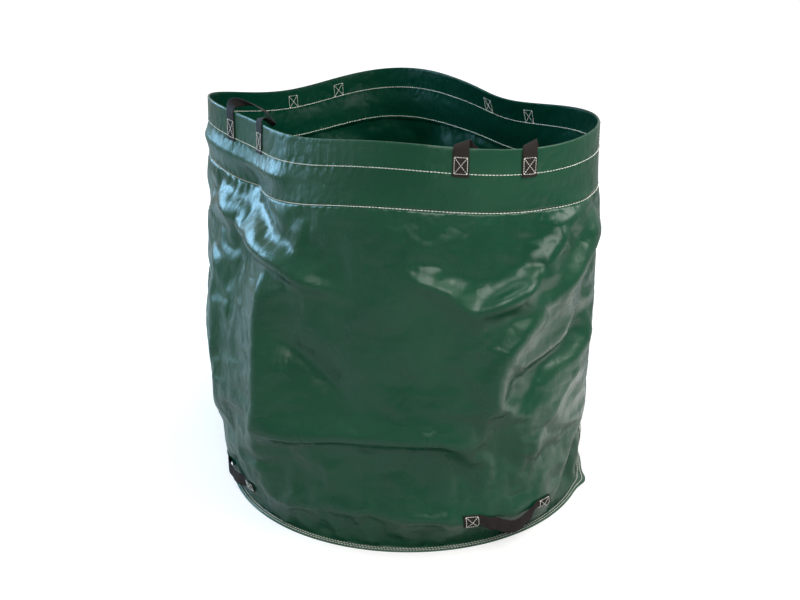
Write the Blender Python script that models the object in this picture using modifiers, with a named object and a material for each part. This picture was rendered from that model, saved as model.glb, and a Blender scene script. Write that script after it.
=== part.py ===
"""Garden waste bag, standing open and empty on a flat floor.

A tube of coated woven sheet stands on a round base panel. The foot of the tube is turned outwards and sewn
to the rim of the base, and its mouth is folded in and down into a deep double hem. Eight webbing straps are
sewn on: four loops round the mouth and four flat grips just above the base.

A place on the cloth is given as it is before the bag slumps: `around` in metres along the perimeter from the
side seam, anticlockwise seen from above, and `height` in metres up from the base seam. The standing shape
then comes from two outlines of the same length, base and mouth, bellies between them, a rim that rises and
dips, and the creases that the slack cloth takes.
"""
from math import cos, pi, radians, sin

import bmesh
import bpy
import numpy as np

# Cut sizes of the cloth
DIAMETER = 0.670
CUT_HEIGHT = 0.760
SEAM_ALLOWANCE = 0.012
SIDE_LAP = 0.020
LAP_LAYERS = 2
UPPER_SEAM_DROP = 0.042
LOWER_SEAM_DROP = 0.106
HEM_DROP = 0.112
FOOT_BEND = 0.002
SHEET = 0.0008
PERIMETER = pi * DIAMETER

# Gaps between the layers of cloth and webbing
SEAT_GAP = 0.0003
LOOP_GAP = 0.0004
GRIP_GAP = 0.0011
HEM_GAP_SEWN = 0.0018
HEM_GAP_LOOSE = 0.0034

# Webbing
WEBBING_WIDTH = 0.025
WEBBING = 0.0015
STITCH_BOX_HEIGHT = 0.027
STRAP_TAIL = 0.005

# Mesh density
COLUMNS = 70
WALL_ROWS = 16
FOLD_ROWS = 4
STRAP_STEPS = 2
GRIP_SEWN_ROWS = 4
GRIP_FREE_ROWS = 7
OUTLINE_STEPS = 1440
SHARP_EDGE_DEG = 35.0

# Where the straps' middles are, metres along the perimeter from the side seam
MOUTH_STRAP_SPAN = 0.105
FRONT_RIGHT_LOOP = -0.1288 * PERIMETER
FRONT_LEFT_LOOP = -0.3787 * PERIMETER
BACK_RIGHT_LOOP = 0.1300 * PERIMETER
BACK_LEFT_LOOP = 0.3810 * PERIMETER
BASE_STRAP_SPAN = 0.126
BASE_STRAP_HEIGHT = 0.078
FRONT_RIGHT_GRIP = -0.1226 * PERIMETER
FRONT_LEFT_GRIP = -0.3787 * PERIMETER
BACK_RIGHT_GRIP = 0.1245 * PERIMETER
BACK_LEFT_GRIP = 0.3734 * PERIMETER

# Outlines: lobes of the radius as (number round the circle, share of the radius, direction in degrees)
BASE_LOBES = ((3, 0.006, -20.0),)
BASE_SEAM_AT = -18.0
MOUTH_LOBES = ((2, 0.272, -52.0), (3, 0.048, -37.0), (4, 0.030, -24.6), (5, 0.021, 18.4), (6, 0.022, -24.4))
MOUTH_CENTRE = (-0.041, 0.011)
MOUTH_SEAM_AT = -28.0

# From the base to the foot of the hem the outline turns gradually into the mouth's. Bellies push it out on
# the way, each (middle along the perimeter, reach each way, how far out)
MOUTH_SHARE = 0.862
FULLNESS = 1.52
BELLIES = ((-0.274, 0.210, 0.030), (-0.768, 0.190, 0.058), (0.202, 0.168, -0.020), (0.589, 0.358, -0.025))

# The rim's height above the floor, and how far the hem leans out for each metre down
RIM_HEIGHT = 0.697
RIM_WAVES = ((1, 0.0115, 9.0), (2, 0.0041, 55.0), (3, 0.0073, -57.0), (4, 0.0071, -14.0), (6, 0.0034, -24.0))
HEM_LEAN = 0.100
HEM_LEAN_WAVES = ((1, 0.154, -42.0), (2, 0.124, 24.0), (3, 0.069, 14.0), (4, 0.048, -20.0))
HEM_UPRIGHT = (0.042, 0.147)

# Where the cloth has slumped most onto the foot: middle, reach, and how much lower its low parts sit
SLUMP_MIDDLE = -0.800
SLUMP_REACH = 0.200
SLUMP = 0.25

# Creases: a line of places on the cloth, how far it stands out, and the reach of its slope above and below
# the line (or, on an upright line, behind and ahead of it going round)
CREASES = (
    # Front left: the upright ridge that ends the flat front, and the shoulder that runs into it from the hem
    (((-0.651, 0.545), (-0.656, 0.456), (-0.653, 0.372), (-0.658, 0.263), (-0.680, 0.170)),
     0.015, 0.120, 0.090),
    (((-0.900, 0.610), (-0.745, 0.590), (-0.624, 0.556), (-0.530, 0.510)), 0.010, 0.060, 0.050),
    (((-0.820, 0.685), (-0.745, 0.635), (-0.640, 0.600)), -0.010, 0.035, 0.040),
    (((-0.631, 0.432), (-0.561, 0.369), (-0.503, 0.299)), -0.010, 0.060, 0.060),
    (((-0.860, 0.480), (-0.850, 0.383), (-0.815, 0.210)), 0.009, 0.080, 0.080),
    # Front: the level buckle over the slumped foot, and a slack smile in the middle
    (((-0.680, 0.260), (-0.591, 0.238), (-0.509, 0.239), (-0.426, 0.242), (-0.361, 0.245), (-0.290, 0.215)),
     0.015, 0.110, 0.038),
    (((-0.400, 0.545), (-0.337, 0.522), (-0.305, 0.490), (-0.261, 0.510), (-0.210, 0.535)),
     0.007, 0.035, 0.045),
    # Front right: long slanting pulls from under the hem at the side seam
    (((-0.090, 0.655), (-0.142, 0.635), (-0.181, 0.589), (-0.226, 0.529), (-0.302, 0.485)),
     0.010, 0.040, 0.045),
    (((-0.060, 0.620), (-0.130, 0.550), (-0.200, 0.490), (-0.245, 0.430), (-0.280, 0.370), (-0.295, 0.270)),
     0.014, 0.060, 0.080),
    (((-0.105, 0.460), (-0.120, 0.400), (-0.190, 0.355), (-0.240, 0.290)), -0.012, 0.045, 0.045),
    # The foot: cloth slumped out over the base seam, with a tuck where the side seam meets the base
    (((-0.460, 0.085), (-0.340, 0.078), (-0.240, 0.078), (-0.140, 0.078)), 0.026, 0.100, 0.075),
    (((-0.700, 0.100), (-0.600, 0.085), (-0.500, 0.090), (-0.420, 0.080)), 0.013, 0.090, 0.065),
    (((-0.100, 0.020), (-0.070, 0.075), (-0.045, 0.160)), -0.020, 0.050, 0.040),
    (((-0.600, 0.225), (-0.560, 0.185), (-0.500, 0.145)), 0.008, 0.045, 0.045),
    (((-0.350, 0.200), (-0.320, 0.150), (-0.330, 0.100)), -0.007, 0.035, 0.035),
    # Back and far sides
    (((0.130, 0.600), (0.170, 0.450), (0.150, 0.290), (0.200, 0.160)), 0.013, 0.090, 0.090),
    (((0.210, 0.270), (0.330, 0.235), (0.450, 0.255), (0.560, 0.230)), 0.014, 0.100, 0.040),
    (((0.330, 0.620), (0.420, 0.520), (0.540, 0.440)), 0.010, 0.055, 0.055),
    (((0.620, 0.600), (0.600, 0.430), (0.640, 0.270)), 0.013, 0.090, 0.090),
    (((0.700, 0.560), (0.800, 0.470), (0.930, 0.410)), -0.010, 0.055, 0.055),
    (((0.660, 0.210), (0.790, 0.240), (0.930, 0.205), (1.030, 0.230)), 0.012, 0.090, 0.040),
    (((0.080, 0.090), (0.240, 0.078), (0.400, 0.090), (0.560, 0.075)), 0.014, 0.090, 0.070),
    (((0.640, 0.080), (0.800, 0.078), (0.950, 0.075)), 0.012, 0.090, 0.065),
)

# How steeply a crease falls off, what share of its ease it has at its very ends, how far in from them it
# grows to its full depth, and how near a seam creases may come
CREASE_FALL = 1.4
CREASE_END = 0.25
CREASE_RUN_IN = 0.050
CREASE_CLEAR_OF_FOOT = 0.030
CREASE_CLEAR_OF_HEM = 0.060

# Wrinkles of the slack cloth between foot and hem: their height, length from crest to crest and number of
# crossing waves. The flat front has least of them
WRINKLE = 0.0050
WRINKLE_LENGTH = 0.260
WRINKLE_WAVES = 7
WRINKLE_SEED = 3
WRINKLE_FROM = 0.110
WRINKLE_TO = 0.665
WRINKLE_EASE = 0.070
CALM_FRONT = (-0.500, 0.550)
CALM_SHARE = 0.80

# Colours and roughness
GREEN = (0.030, 0.105, 0.062)
DARK_GREEN = (0.026, 0.088, 0.052)
WEBBING_BLACK = (0.030, 0.026, 0.025)
SHEET_ROUGHNESS = 0.32
BASE_ROUGHNESS = 0.40
WEBBING_ROUGHNESS = 0.75


def waves(angle, terms):
    """Sum of cosines round the circle: each term is (number of waves, size, direction of a crest)."""
    return sum(size * np.cos(count * (angle - radians(crest))) for count, size, crest in terms)


def outline(lobes, centre, seam_at, length=PERIMETER):
    """Closed outline of a given length, as a function from metres along it to x, y and direction."""
    angle = np.linspace(0, 2 * pi, OUTLINE_STEPS + 1)
    radius = 1 + waves(angle, lobes)
    x = radius * np.cos(angle)
    y = radius * np.sin(angle)
    run = np.concatenate([[0], np.cumsum(np.hypot(np.diff(x), np.diff(y)))])
    scale = length / run[-1]
    x = x * scale + centre[0]
    y = y * scale + centre[1]
    run = run * scale
    bearing = np.unwrap(np.arctan2(y, x))
    seam_bearing = bearing[0] + (radians(seam_at) - bearing[0]) % (2 * pi)
    start = np.interp(seam_bearing, bearing, run)

    def at(around):
        along = (np.asarray(around) + start) % length
        return np.interp(along, run, x), np.interp(along, run, y), np.interp(along, run, angle)

    return at


BASE_OUTLINE = outline(BASE_LOBES, (0.0, 0.0), BASE_SEAM_AT)
MOUTH_OUTLINE = outline(MOUTH_LOBES, MOUTH_CENTRE, MOUTH_SEAM_AT)


def eased(share):
    """Smooth step from 0 to 1."""
    share = np.clip(share, 0, 1)
    return share * share * (3 - 2 * share)


def near(around, middle, reach):
    """Bell curve along the perimeter: 1 at its middle, falling to about a third at its reach."""
    away = (around - middle + PERIMETER / 2) % PERIMETER - PERIMETER / 2
    return np.exp(-((away / reach) ** 2))


def crease_offset(around, height, line, rise, reach_over, reach_under):
    """How far one crease pushes the cloth out: sharp along its line, falling off over its reach."""
    points = np.array(line)
    nearest = np.full(around.shape, np.inf)
    side = np.zeros(around.shape)
    travel = np.zeros(around.shape)
    run = 0.0
    middle = points[:, 0].mean()
    away = around - np.round((around - middle) / PERIMETER) * PERIMETER
    for (x0, y0), (x1, y1) in zip(points[:-1], points[1:]):
        dx, dy = x1 - x0, y1 - y0
        size = np.hypot(dx, dy)
        share = np.clip(((away - x0) * dx + (height - y0) * dy) / size**2, 0, 1)
        gap_x = away - (x0 + share * dx)
        gap_y = height - (y0 + share * dy)
        gap = np.hypot(gap_x, gap_y)
        closer = gap < nearest
        nearest = np.where(closer, gap, nearest)
        side = np.where(closer, dx * gap_y - dy * gap_x, side)
        travel = np.where(closer, run + share * size, travel)
        run += size
    reach = np.where(side > 0, reach_over, reach_under)
    slope = np.clip(1 - nearest / reach, 0, 1) ** CREASE_FALL
    inwards = np.minimum(travel, run - travel) / CREASE_RUN_IN
    run_in = eased(CREASE_END + (1 - CREASE_END) * inwards)
    return rise * slope * run_in


def crossing_waves(around, height, random):
    """Waves of one length in seeded directions, closing round the tube, added up to a mean square of 1."""
    total = 0.0
    for _ in range(WRINKLE_WAVES):
        heading, phase = random.uniform(0, 2 * pi, 2)
        turns = round(PERIMETER / WRINKLE_LENGTH * cos(heading))
        climb = 2 * pi / WRINKLE_LENGTH * sin(heading)
        total = total + np.cos(2 * pi * turns * around / PERIMETER + climb * height + phase)
    return total * np.sqrt(2 / WRINKLE_WAVES)


def wrinkles(around, height):
    """Sharp ridges and valleys: one field of waves less another, each folded where it changes sign."""
    random = np.random.default_rng(WRINKLE_SEED)
    ridged = np.abs(crossing_waves(around, height, random)) - np.abs(crossing_waves(around, height, random))
    calm = 1 - CALM_SHARE * near(around, *CALM_FRONT)
    low = eased((height - WRINKLE_FROM) / WRINKLE_EASE)
    high = eased((WRINKLE_TO - height) / WRINKLE_EASE)
    return WRINKLE * ridged * calm * low * high


def creases(around, height):
    """Creases and wrinkles together, the creases fading out towards the base seam and the hem."""
    total = sum(crease_offset(around, height, *crease) for crease in CREASES)
    foot = eased(height / CREASE_CLEAR_OF_FOOT)
    hem = eased((CUT_HEIGHT - UPPER_SEAM_DROP - height) / CREASE_CLEAR_OF_HEM)
    return total * foot * hem + wrinkles(around, height)


def standing(around, height, out=0.0):
    """Place in the standing bag of a place on the cloth, moved outwards level by `out`."""
    around, height = np.broadcast_arrays(np.asarray(around, float), np.asarray(height, float))
    share = height / CUT_HEIGHT
    base_x, base_y, _ = BASE_OUTLINE(around)
    mouth_x, mouth_y, mouth_angle = MOUTH_OUTLINE(around)
    base_facing = facing(BASE_OUTLINE, around)
    mouth_facing = facing(MOUTH_OUTLINE, around)

    rim = RIM_HEIGHT + waves(mouth_angle, RIM_WAVES)
    lean = (HEM_LEAN + waves(mouth_angle, HEM_LEAN_WAVES)) * (1 - near(around, *HEM_UPRIGHT))
    lean = lean * np.clip(1 - share, 0, 1 - MOUTH_SHARE) * rim
    climb = np.clip(share / MOUTH_SHARE, 0, 1)
    towards_mouth = 1 - (1 - climb) ** FULLNESS
    belly = sum(out_by * near(around, middle, reach) for middle, reach, out_by in BELLIES)

    x = (1 - towards_mouth) * base_x + towards_mouth * (mouth_x + lean * mouth_facing[0])
    y = (1 - towards_mouth) * base_y + towards_mouth * (mouth_y + lean * mouth_facing[1])
    normal = (1 - towards_mouth) * base_facing + towards_mouth * mouth_facing
    normal = normal / np.hypot(normal[0], normal[1])
    push = out + belly * np.sin(pi * climb) + creases(around, height)
    foot = SHEET + SEAT_GAP + SHEET / 2
    slump = SLUMP * near(around, SLUMP_MIDDLE, SLUMP_REACH)
    z = foot + share ** (1 + slump) * (rim - foot)
    return np.stack([x + push * normal[0], y + push * normal[1], z], axis=-1)


def facing(shape, around):
    """Level outward direction of an outline at places along it."""
    step = 0.002
    x0, y0, _ = shape(around - step)
    x1, y1, _ = shape(around + step)
    size = np.hypot(x1 - x0, y1 - y0)
    return np.stack([(y1 - y0) / size, (x0 - x1) / size])


def hem_gap(drop):
    """Distance between the two layers of the hem, this far below the rim: least along the seams."""
    stations = np.array([0.0, UPPER_SEAM_DROP, LOWER_SEAM_DROP, 2 * HEM_DROP - LOWER_SEAM_DROP])
    between = np.interp(drop, stations, np.arange(4.0) + 0.5 * (stations == 0))
    puff = np.sin(pi * between) ** 2
    return HEM_GAP_SEWN + (HEM_GAP_LOOSE - HEM_GAP_SEWN) * puff


def wall_heights():
    """Heights of the rows between foot and hem: even, and three under the middle and edges of the grips."""
    even = np.linspace(FOOT_BEND, CUT_HEIGHT - LOWER_SEAM_DROP, WALL_ROWS + 2)[1:-1]
    under_grip = BASE_STRAP_HEIGHT + WEBBING_WIDTH * np.array([-0.5, 0.0, 0.5])
    apart = np.abs(even[:, None] - under_grip).min(axis=1) > WEBBING_WIDTH / 2
    return np.sort(np.concatenate([even[apart], under_grip]))


def wall_section():
    """Section of the tube from the edge of the foot to the raw edge inside the hem, as (height, out)."""
    foot = [(0.0, SEAM_ALLOWANCE), (0.0, SEAM_ALLOWANCE / 2), (FOOT_BEND, 0.0)]
    wall = [(height, 0.0) for height in wall_heights()]
    drops = (LOWER_SEAM_DROP, (LOWER_SEAM_DROP + UPPER_SEAM_DROP) / 2, UPPER_SEAM_DROP, UPPER_SEAM_DROP / 2)
    outer = [(CUT_HEIGHT - drop, 0.0) for drop in drops]
    fold_gap = float(hem_gap(0.0))
    fold_centre = CUT_HEIGHT - fold_gap / 2
    fold = [(fold_centre + fold_gap / 2 * sin(turn), fold_gap / 2 * (cos(turn) - 1))
            for turn in np.linspace(0, pi, FOLD_ROWS)]
    inner = [(CUT_HEIGHT - drop, -float(hem_gap(drop))) for drop in reversed(drops)]
    edge = [(CUT_HEIGHT - HEM_DROP, -float(hem_gap(HEM_DROP)))]
    return foot + wall + outer + fold + inner + edge


def column_places():
    """Places of the columns round the tube: even, with one at each edge of the side seam's lap."""
    even = np.arange(COLUMNS) * PERIMETER / COLUMNS
    even = even[(even > SIDE_LAP) & (even < PERIMETER - SIDE_LAP)]
    return np.concatenate([[0.0, SIDE_LAP / 2], even, [PERIMETER - SIDE_LAP / 2]])


def wall_grid():
    """Places in the standing bag of the section's rows at every column, and the rows' own values."""
    section = np.array(wall_section())
    around = column_places()
    return standing(around[None, :], section[:, :1], section[:, 1:]), section, around


GRID, SECTION, AROUND = wall_grid()
OUTER_ROWS = slice(2, 3 + len(wall_heights()) + 4)


def on_wall(around, height, lift):
    """Place at `lift` outside the wall's own faces, so that what is sewn on lies flat on them."""
    rows = SECTION[OUTER_ROWS, 0]
    columns = np.append(AROUND, PERIMETER)
    grid = GRID[OUTER_ROWS]
    around = around % PERIMETER
    column = min(int(np.searchsorted(columns, around, side="right")) - 1, len(AROUND) - 1)
    row = int(np.clip(np.searchsorted(rows, height) - 1, 0, len(rows) - 2))
    across = (around - columns[column]) / (columns[column + 1] - columns[column])
    up = (height - rows[row]) / (rows[row + 1] - rows[row])
    following = (column + 1) % len(AROUND)
    low = grid[row, column] * (1 - across) + grid[row, following] * across
    high = grid[row + 1, column] * (1 - across) + grid[row + 1, following] * across
    sideways = grid[row, following] - grid[row, column]
    upwards = grid[row + 1, column] - grid[row, column]
    normal = np.cross(sideways, upwards)
    return low * (1 - up) + high * up + normal / np.linalg.norm(normal) * lift


def material(name, colour, roughness):
    """Principled material of one colour."""
    made = bpy.data.materials.new(name)
    made.use_nodes = True
    shader = made.node_tree.nodes["Principled BSDF"]
    shader.inputs["Base Color"].default_value = (*colour, 1.0)
    shader.inputs["Roughness"].default_value = roughness
    shader.inputs["Metallic"].default_value = 0.0
    return made


def solidify(piece, thickness, offset):
    """Give an open surface its thickness."""
    modifier = piece.modifiers.new("Thickness", "SOLIDIFY")
    modifier.thickness = thickness
    modifier.offset = offset
    return modifier


def finish(piece, collection, colour_material, parent):
    """File the piece under its collection, material and parent, shaded smooth."""
    piece.data.materials.append(colour_material)
    piece.data.shade_smooth()
    piece.data.set_sharp_from_angle(angle=radians(SHARP_EDGE_DEG))
    collection.objects.link(piece)
    piece.parent = parent


def build_wall(collection, parent):
    """The tube of cloth: its section is spun round, and each ring then takes the standing outline."""
    mesh = bpy.data.meshes.new("wall")
    spun = bmesh.new()
    radius = PERIMETER / (2 * pi)
    line = [spun.verts.new((radius + out, 0.0, height)) for height, out in SECTION]
    edges = [spun.edges.new(pair) for pair in zip(line[:-1], line[1:])]
    bmesh.ops.spin(spun, geom=line + edges, axis=(0, 0, 1), cent=(0, 0, 0), angle=2 * pi,
                   steps=len(AROUND), use_merge=True)
    bmesh.ops.remove_doubles(spun, verts=spun.verts, dist=0.00001)
    spun.to_mesh(mesh)
    spun.free()

    places = np.empty(len(mesh.vertices) * 3)
    mesh.vertices.foreach_get("co", places)
    places = places.reshape(-1, 3)
    turn = np.arctan2(places[:, 1], places[:, 0]) % (2 * pi)
    column = np.round(turn / (2 * pi) * len(AROUND)).astype(int) % len(AROUND)
    flat = np.stack([places[:, 2], np.hypot(places[:, 0], places[:, 1]) - radius], axis=1)
    row = np.argmin(((flat[:, None, :] - SECTION[None]) ** 2).sum(axis=2), axis=1)
    mesh.vertices.foreach_set("co", GRID[row, column].astype(np.float32).ravel())
    mesh.update()

    wall = bpy.data.objects.new("wall", mesh)
    lap = wall.vertex_groups.new(name="Side lap")
    on_lap = np.isin(AROUND[column], (0.0, SIDE_LAP / 2, PERIMETER - SIDE_LAP / 2))
    on_lap &= SECTION[row, 0] > FOOT_BEND
    lap.add([int(i) for i in np.flatnonzero(on_lap)], 1.0, "REPLACE")
    thickness = solidify(wall, LAP_LAYERS * SHEET, 0.0)
    thickness.vertex_group = lap.name
    thickness.thickness_vertex_group = 1 / LAP_LAYERS
    finish(wall, collection, material("Coated green sheet", GREEN, SHEET_ROUGHNESS), parent)


def build_base(collection, parent):
    """The round base panel, lying flat under the turned-out foot of the wall."""
    around = np.arange(COLUMNS) * PERIMETER / COLUMNS
    x, y, _ = BASE_OUTLINE(around)
    normal = facing(BASE_OUTLINE, around)
    curve = bpy.data.curves.new("base_panel", "CURVE")
    curve.dimensions = "2D"
    curve.fill_mode = "BOTH"
    curve.extrude = SHEET / 2
    spline = curve.splines.new("POLY")
    spline.points.add(COLUMNS - 1)
    edge = np.stack([x + SEAM_ALLOWANCE * normal[0], y + SEAM_ALLOWANCE * normal[1],
                     np.zeros(COLUMNS), np.ones(COLUMNS)], axis=1)
    spline.points.foreach_set("co", edge.ravel())
    spline.use_cyclic_u = True
    panel = bpy.data.objects.new("base_panel", curve)
    panel.location.z = SHEET / 2
    curve.materials.append(material("Base green sheet", DARK_GREEN, BASE_ROUGHNESS))
    collection.objects.link(panel)
    panel.parent = parent


def smooth_rows(rows, steps):
    """Rows of points along a strap, with extra rows on a smooth curve through the given ones."""
    rows = np.array(rows)
    padded = np.concatenate([[2 * rows[0] - rows[1]], rows, [2 * rows[-1] - rows[-2]]])
    result = []
    for before, start, end, after in zip(padded[:-3], padded[1:-2], padded[2:-1], padded[3:]):
        for share in np.arange(steps) / steps:
            result.append(0.5 * (2 * start + (end - before) * share
                                 + (2 * before - 5 * start + 4 * end - after) * share**2
                                 + (3 * start - before - 3 * end + after) * share**3))
    return np.array(result + [rows[-1]])


def strip(name, rows, collection, parent, webbing):
    """A webbing strap: a band of faces through its rows, given the webbing's thickness."""
    mesh = bpy.data.meshes.new(name)
    band = bmesh.new()
    verts = [[band.verts.new(point) for point in row] for row in rows]
    for row, following in zip(verts[:-1], verts[1:]):
        for i in range(len(row) - 1):
            band.faces.new((row[i], row[i + 1], following[i + 1], following[i]))
    band.to_mesh(mesh)
    band.free()
    piece = bpy.data.objects.new(name, mesh)
    solidify(piece, WEBBING, 0.0)
    finish(piece, collection, webbing, parent)
    return piece


def strap_row(middle, level, gap, centre, across):
    """Row of three points across a strap. Its centre is (along, out, up) from the strap's middle at `level`,
    measured on the cloth and from where the strap lies when it is sewn flat; `across` is its direction."""
    across = np.array(across) / np.linalg.norm(across) * WEBBING_WIDTH / 2
    lift = SHEET / 2 + gap + WEBBING / 2
    row = []
    for side in (-1, 0, 1):
        along, out, up = np.array(centre) + side * across
        row.append(on_wall(middle + along, level + up, lift + out))
    return row


def build_loop(name, middle, free, collection, parent, webbing):
    """A loop at the mouth: both ends sewn upright on the hem, the rest free through the given rows."""
    drops = (UPPER_SEAM_DROP + STRAP_TAIL, UPPER_SEAM_DROP, UPPER_SEAM_DROP - STITCH_BOX_HEIGHT)
    half = MOUTH_STRAP_SPAN / 2
    start = [strap_row(middle, CUT_HEIGHT, LOOP_GAP, (-half, 0.0, -drop), (1, 0, 0)) for drop in drops]
    end = [strap_row(middle, CUT_HEIGHT, LOOP_GAP, (half, 0.0, -drop), (-1, 0, 0)) for drop in drops[::-1]]
    between = [strap_row(middle, CUT_HEIGHT, LOOP_GAP, centre, across) for centre, across in free]
    bent = smooth_rows([start[-1], *between, end[0]], STRAP_STEPS)
    return strip(name, [*start[:-1], *bent, *end[1:]], collection, parent, webbing)


def build_grip(name, middle, slack, sag, collection, parent, webbing):
    """A grip near the base: both ends sewn level on the wall, the middle hanging slack and creased."""
    half = BASE_STRAP_SPAN / 2
    box = STITCH_BOX_HEIGHT / 2
    free_half = half - box
    sewn = np.linspace(-box, box, GRIP_SEWN_ROWS)
    centres = [(-half + along, 0.0, 0.0) for along in sewn]
    for share in np.linspace(-1, 1, GRIP_FREE_ROWS + 2)[1:-1]:
        centres.append((share * free_half, slack * (1 - share**2), -sag * (1 - abs(share))))
    centres += [(half + along, 0.0, 0.0) for along in sewn]
    rows = [strap_row(middle, BASE_STRAP_HEIGHT, GRIP_GAP, centre, (0, 0, 1)) for centre in centres]
    return strip(name, rows, collection, parent, webbing)


# Free rows of the four loops: centre and direction across, as (along the rim, outwards, up from the rim)
FALLEN_IN = (
    ((-0.0525, 0.0000, 0.002), (1.0, 0.0, 0.30)),
    ((-0.0500, -0.0050, 0.009), (1.0, 0.0, 0.45)),
    ((-0.0400, -0.0140, -0.004), (0.8, 0.0, 0.60)),
    ((-0.0050, -0.0200, -0.034), (0.5, 0.0, 0.85)),
    ((0.0350, -0.0240, -0.046), (0.0, -0.3, 1.0)),
    ((0.0720, -0.0220, -0.030), (-0.7, -0.2, 0.70)),
    ((0.0640, -0.0150, -0.004), (-1.0, 0.0, -0.20)),
    ((0.0540, -0.0050, 0.009), (-1.0, 0.0, -0.45)),
    ((0.0525, 0.0000, 0.002), (-1.0, 0.0, -0.30)),
)
STANDING_UP = (
    ((-0.0525, 0.0000, 0.002), (1.0, 0.0, 0.10)),
    ((-0.0480, -0.0040, 0.014), (0.9, -0.3, -0.30)),
    ((-0.0250, -0.0120, 0.026), (0.3, -0.5, -0.80)),
    ((0.0100, -0.0180, 0.026), (-0.1, -0.5, -0.85)),
    ((0.0420, -0.0220, 0.014), (-0.5, -0.4, -0.75)),
    ((0.0660, -0.0230, 0.002), (-0.9, -0.1, -0.40)),
    ((0.0630, -0.0140, 0.005), (-1.0, 0.0, -0.30)),
    ((0.0560, -0.0050, 0.009), (-1.0, 0.0, -0.20)),
    ((0.0525, 0.0000, 0.003), (-1.0, 0.0, -0.10)),
)
FALLEN_OUT = (
    ((-0.0525, 0.0030, -0.008), (1.0, 0.0, 0.10)),
    ((-0.0510, 0.0080, -0.012), (1.0, 0.0, 0.10)),
    ((-0.0400, 0.0110, -0.034), (0.8, 0.0, 0.50)),
    ((0.0000, 0.0140, -0.058), (0.0, 0.3, 1.00)),
    ((0.0400, 0.0110, -0.034), (-0.8, 0.0, 0.50)),
    ((0.0510, 0.0080, -0.012), (-1.0, 0.0, 0.10)),
    ((0.0525, 0.0030, -0.008), (-1.0, 0.0, 0.10)),
)


# The four grips: name, middle, how far their slack stands off the wall and how far it sags
GRIPS = (
    ("bottom_handle_front_right", FRONT_RIGHT_GRIP, 0.018, 0.012),
    ("bottom_handle_front_left", FRONT_LEFT_GRIP, 0.014, 0.006),
    ("bottom_handle_back_right", BACK_RIGHT_GRIP, 0.015, 0.008),
    ("bottom_handle_back_left", BACK_LEFT_GRIP, 0.012, 0.010),
)


def main():
    """Clear the scene and build the bag."""
    for old in list(bpy.data.objects):
        bpy.data.objects.remove(old, do_unlink=True)
    collection = bpy.data.collections.new("garden_waste_bag")
    bpy.context.scene.collection.children.link(collection)
    bag = bpy.data.objects.new("bag", None)
    collection.objects.link(bag)

    build_base(collection, bag)
    build_wall(collection, bag)

    webbing = material("Webbing", WEBBING_BLACK, WEBBING_ROUGHNESS)
    loops = (
        ("top_handle_front_right", FRONT_RIGHT_LOOP, FALLEN_IN),
        ("top_handle_front_left", FRONT_LEFT_LOOP, STANDING_UP),
        ("top_handle_back_right", BACK_RIGHT_LOOP, FALLEN_OUT),
        ("top_handle_back_left", BACK_LEFT_LOOP, FALLEN_OUT),
    )
    for name, middle, free in loops:
        build_loop(name, middle, free, collection, bag, webbing)
    for name, middle, slack, sag in GRIPS:
        build_grip(name, middle, slack, sag, collection, bag, webbing)


main()
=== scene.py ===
"""Looks of an open garden waste bag: crumpled coated cloth, a sewn hem, webbing straps and their stitching.

The bag is a tube of coated woven sheet on a round base panel. A place on the cloth is given as it was cut:
`around` in metres along the perimeter from the side seam, anticlockwise seen from above, and `height` in
metres up from the base seam. Lengths are in metres, with the centre of the base's underside as origin.
"""
from __future__ import annotations

import logging
import math
from dataclasses import dataclass, field
from enum import Enum

import bpy
import numpy as np
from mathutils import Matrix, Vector


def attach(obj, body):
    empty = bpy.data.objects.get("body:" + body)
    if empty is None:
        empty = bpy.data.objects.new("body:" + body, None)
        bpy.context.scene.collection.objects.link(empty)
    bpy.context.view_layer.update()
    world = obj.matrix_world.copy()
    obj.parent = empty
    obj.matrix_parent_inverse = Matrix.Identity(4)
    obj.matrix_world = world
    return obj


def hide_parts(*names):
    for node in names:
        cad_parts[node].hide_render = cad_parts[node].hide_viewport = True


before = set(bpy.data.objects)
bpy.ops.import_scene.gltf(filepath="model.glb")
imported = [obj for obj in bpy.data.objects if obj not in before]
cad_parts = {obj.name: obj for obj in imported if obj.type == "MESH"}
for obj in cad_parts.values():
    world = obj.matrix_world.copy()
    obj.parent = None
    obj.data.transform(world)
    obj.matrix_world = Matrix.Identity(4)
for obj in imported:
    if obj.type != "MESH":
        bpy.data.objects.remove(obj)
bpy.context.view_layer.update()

log = logging.getLogger("garden_waste_bag")

Array = np.ndarray


@dataclass(frozen=True)
class Cut:
    """Sizes that the cloth and webbing were cut and sewn to, in metres."""

    diameter: float = 0.670
    height: float = 0.760
    seam_allowance: float = 0.012
    side_lap: float = 0.020
    upper_seam_drop: float = 0.042
    lower_seam_drop: float = 0.106
    hem_drop: float = 0.112
    sheet: float = 0.0008
    webbing_width: float = 0.025
    webbing: float = 0.0015
    box_height: float = 0.027
    box_width: float = 0.0195
    strap_tail: float = 0.005

    @property
    def perimeter(self) -> float:
        """Length of the cloth round the tube."""
        return math.pi * self.diameter

    @property
    def hem_foot(self) -> float:
        """Height of the lower hem seam above the base seam."""
        return self.height - self.lower_seam_drop


CUT = Cut()


def eased(share: Array) -> Array:
    """Smooth step: 3 s squared minus 2 s cubed, held at 0 and 1 outside."""
    share = np.clip(share, 0, 1)
    return share * share * (3 - 2 * share)


def near(around: Array, middle: float, reach: float) -> Array:
    """Bell along the perimeter: e to the minus square of the distance from the middle over the reach.

    Args:
        around: places along the perimeter.
        middle: place of the bell's top.
        reach: distance at which it has fallen to 1 / e.
    Returns:
        The bell's height at each place, from 0 to 1.
    """
    half = CUT.perimeter / 2
    away = (around - middle + half) % CUT.perimeter - half
    return np.exp(-((away / reach) ** 2))


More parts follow.
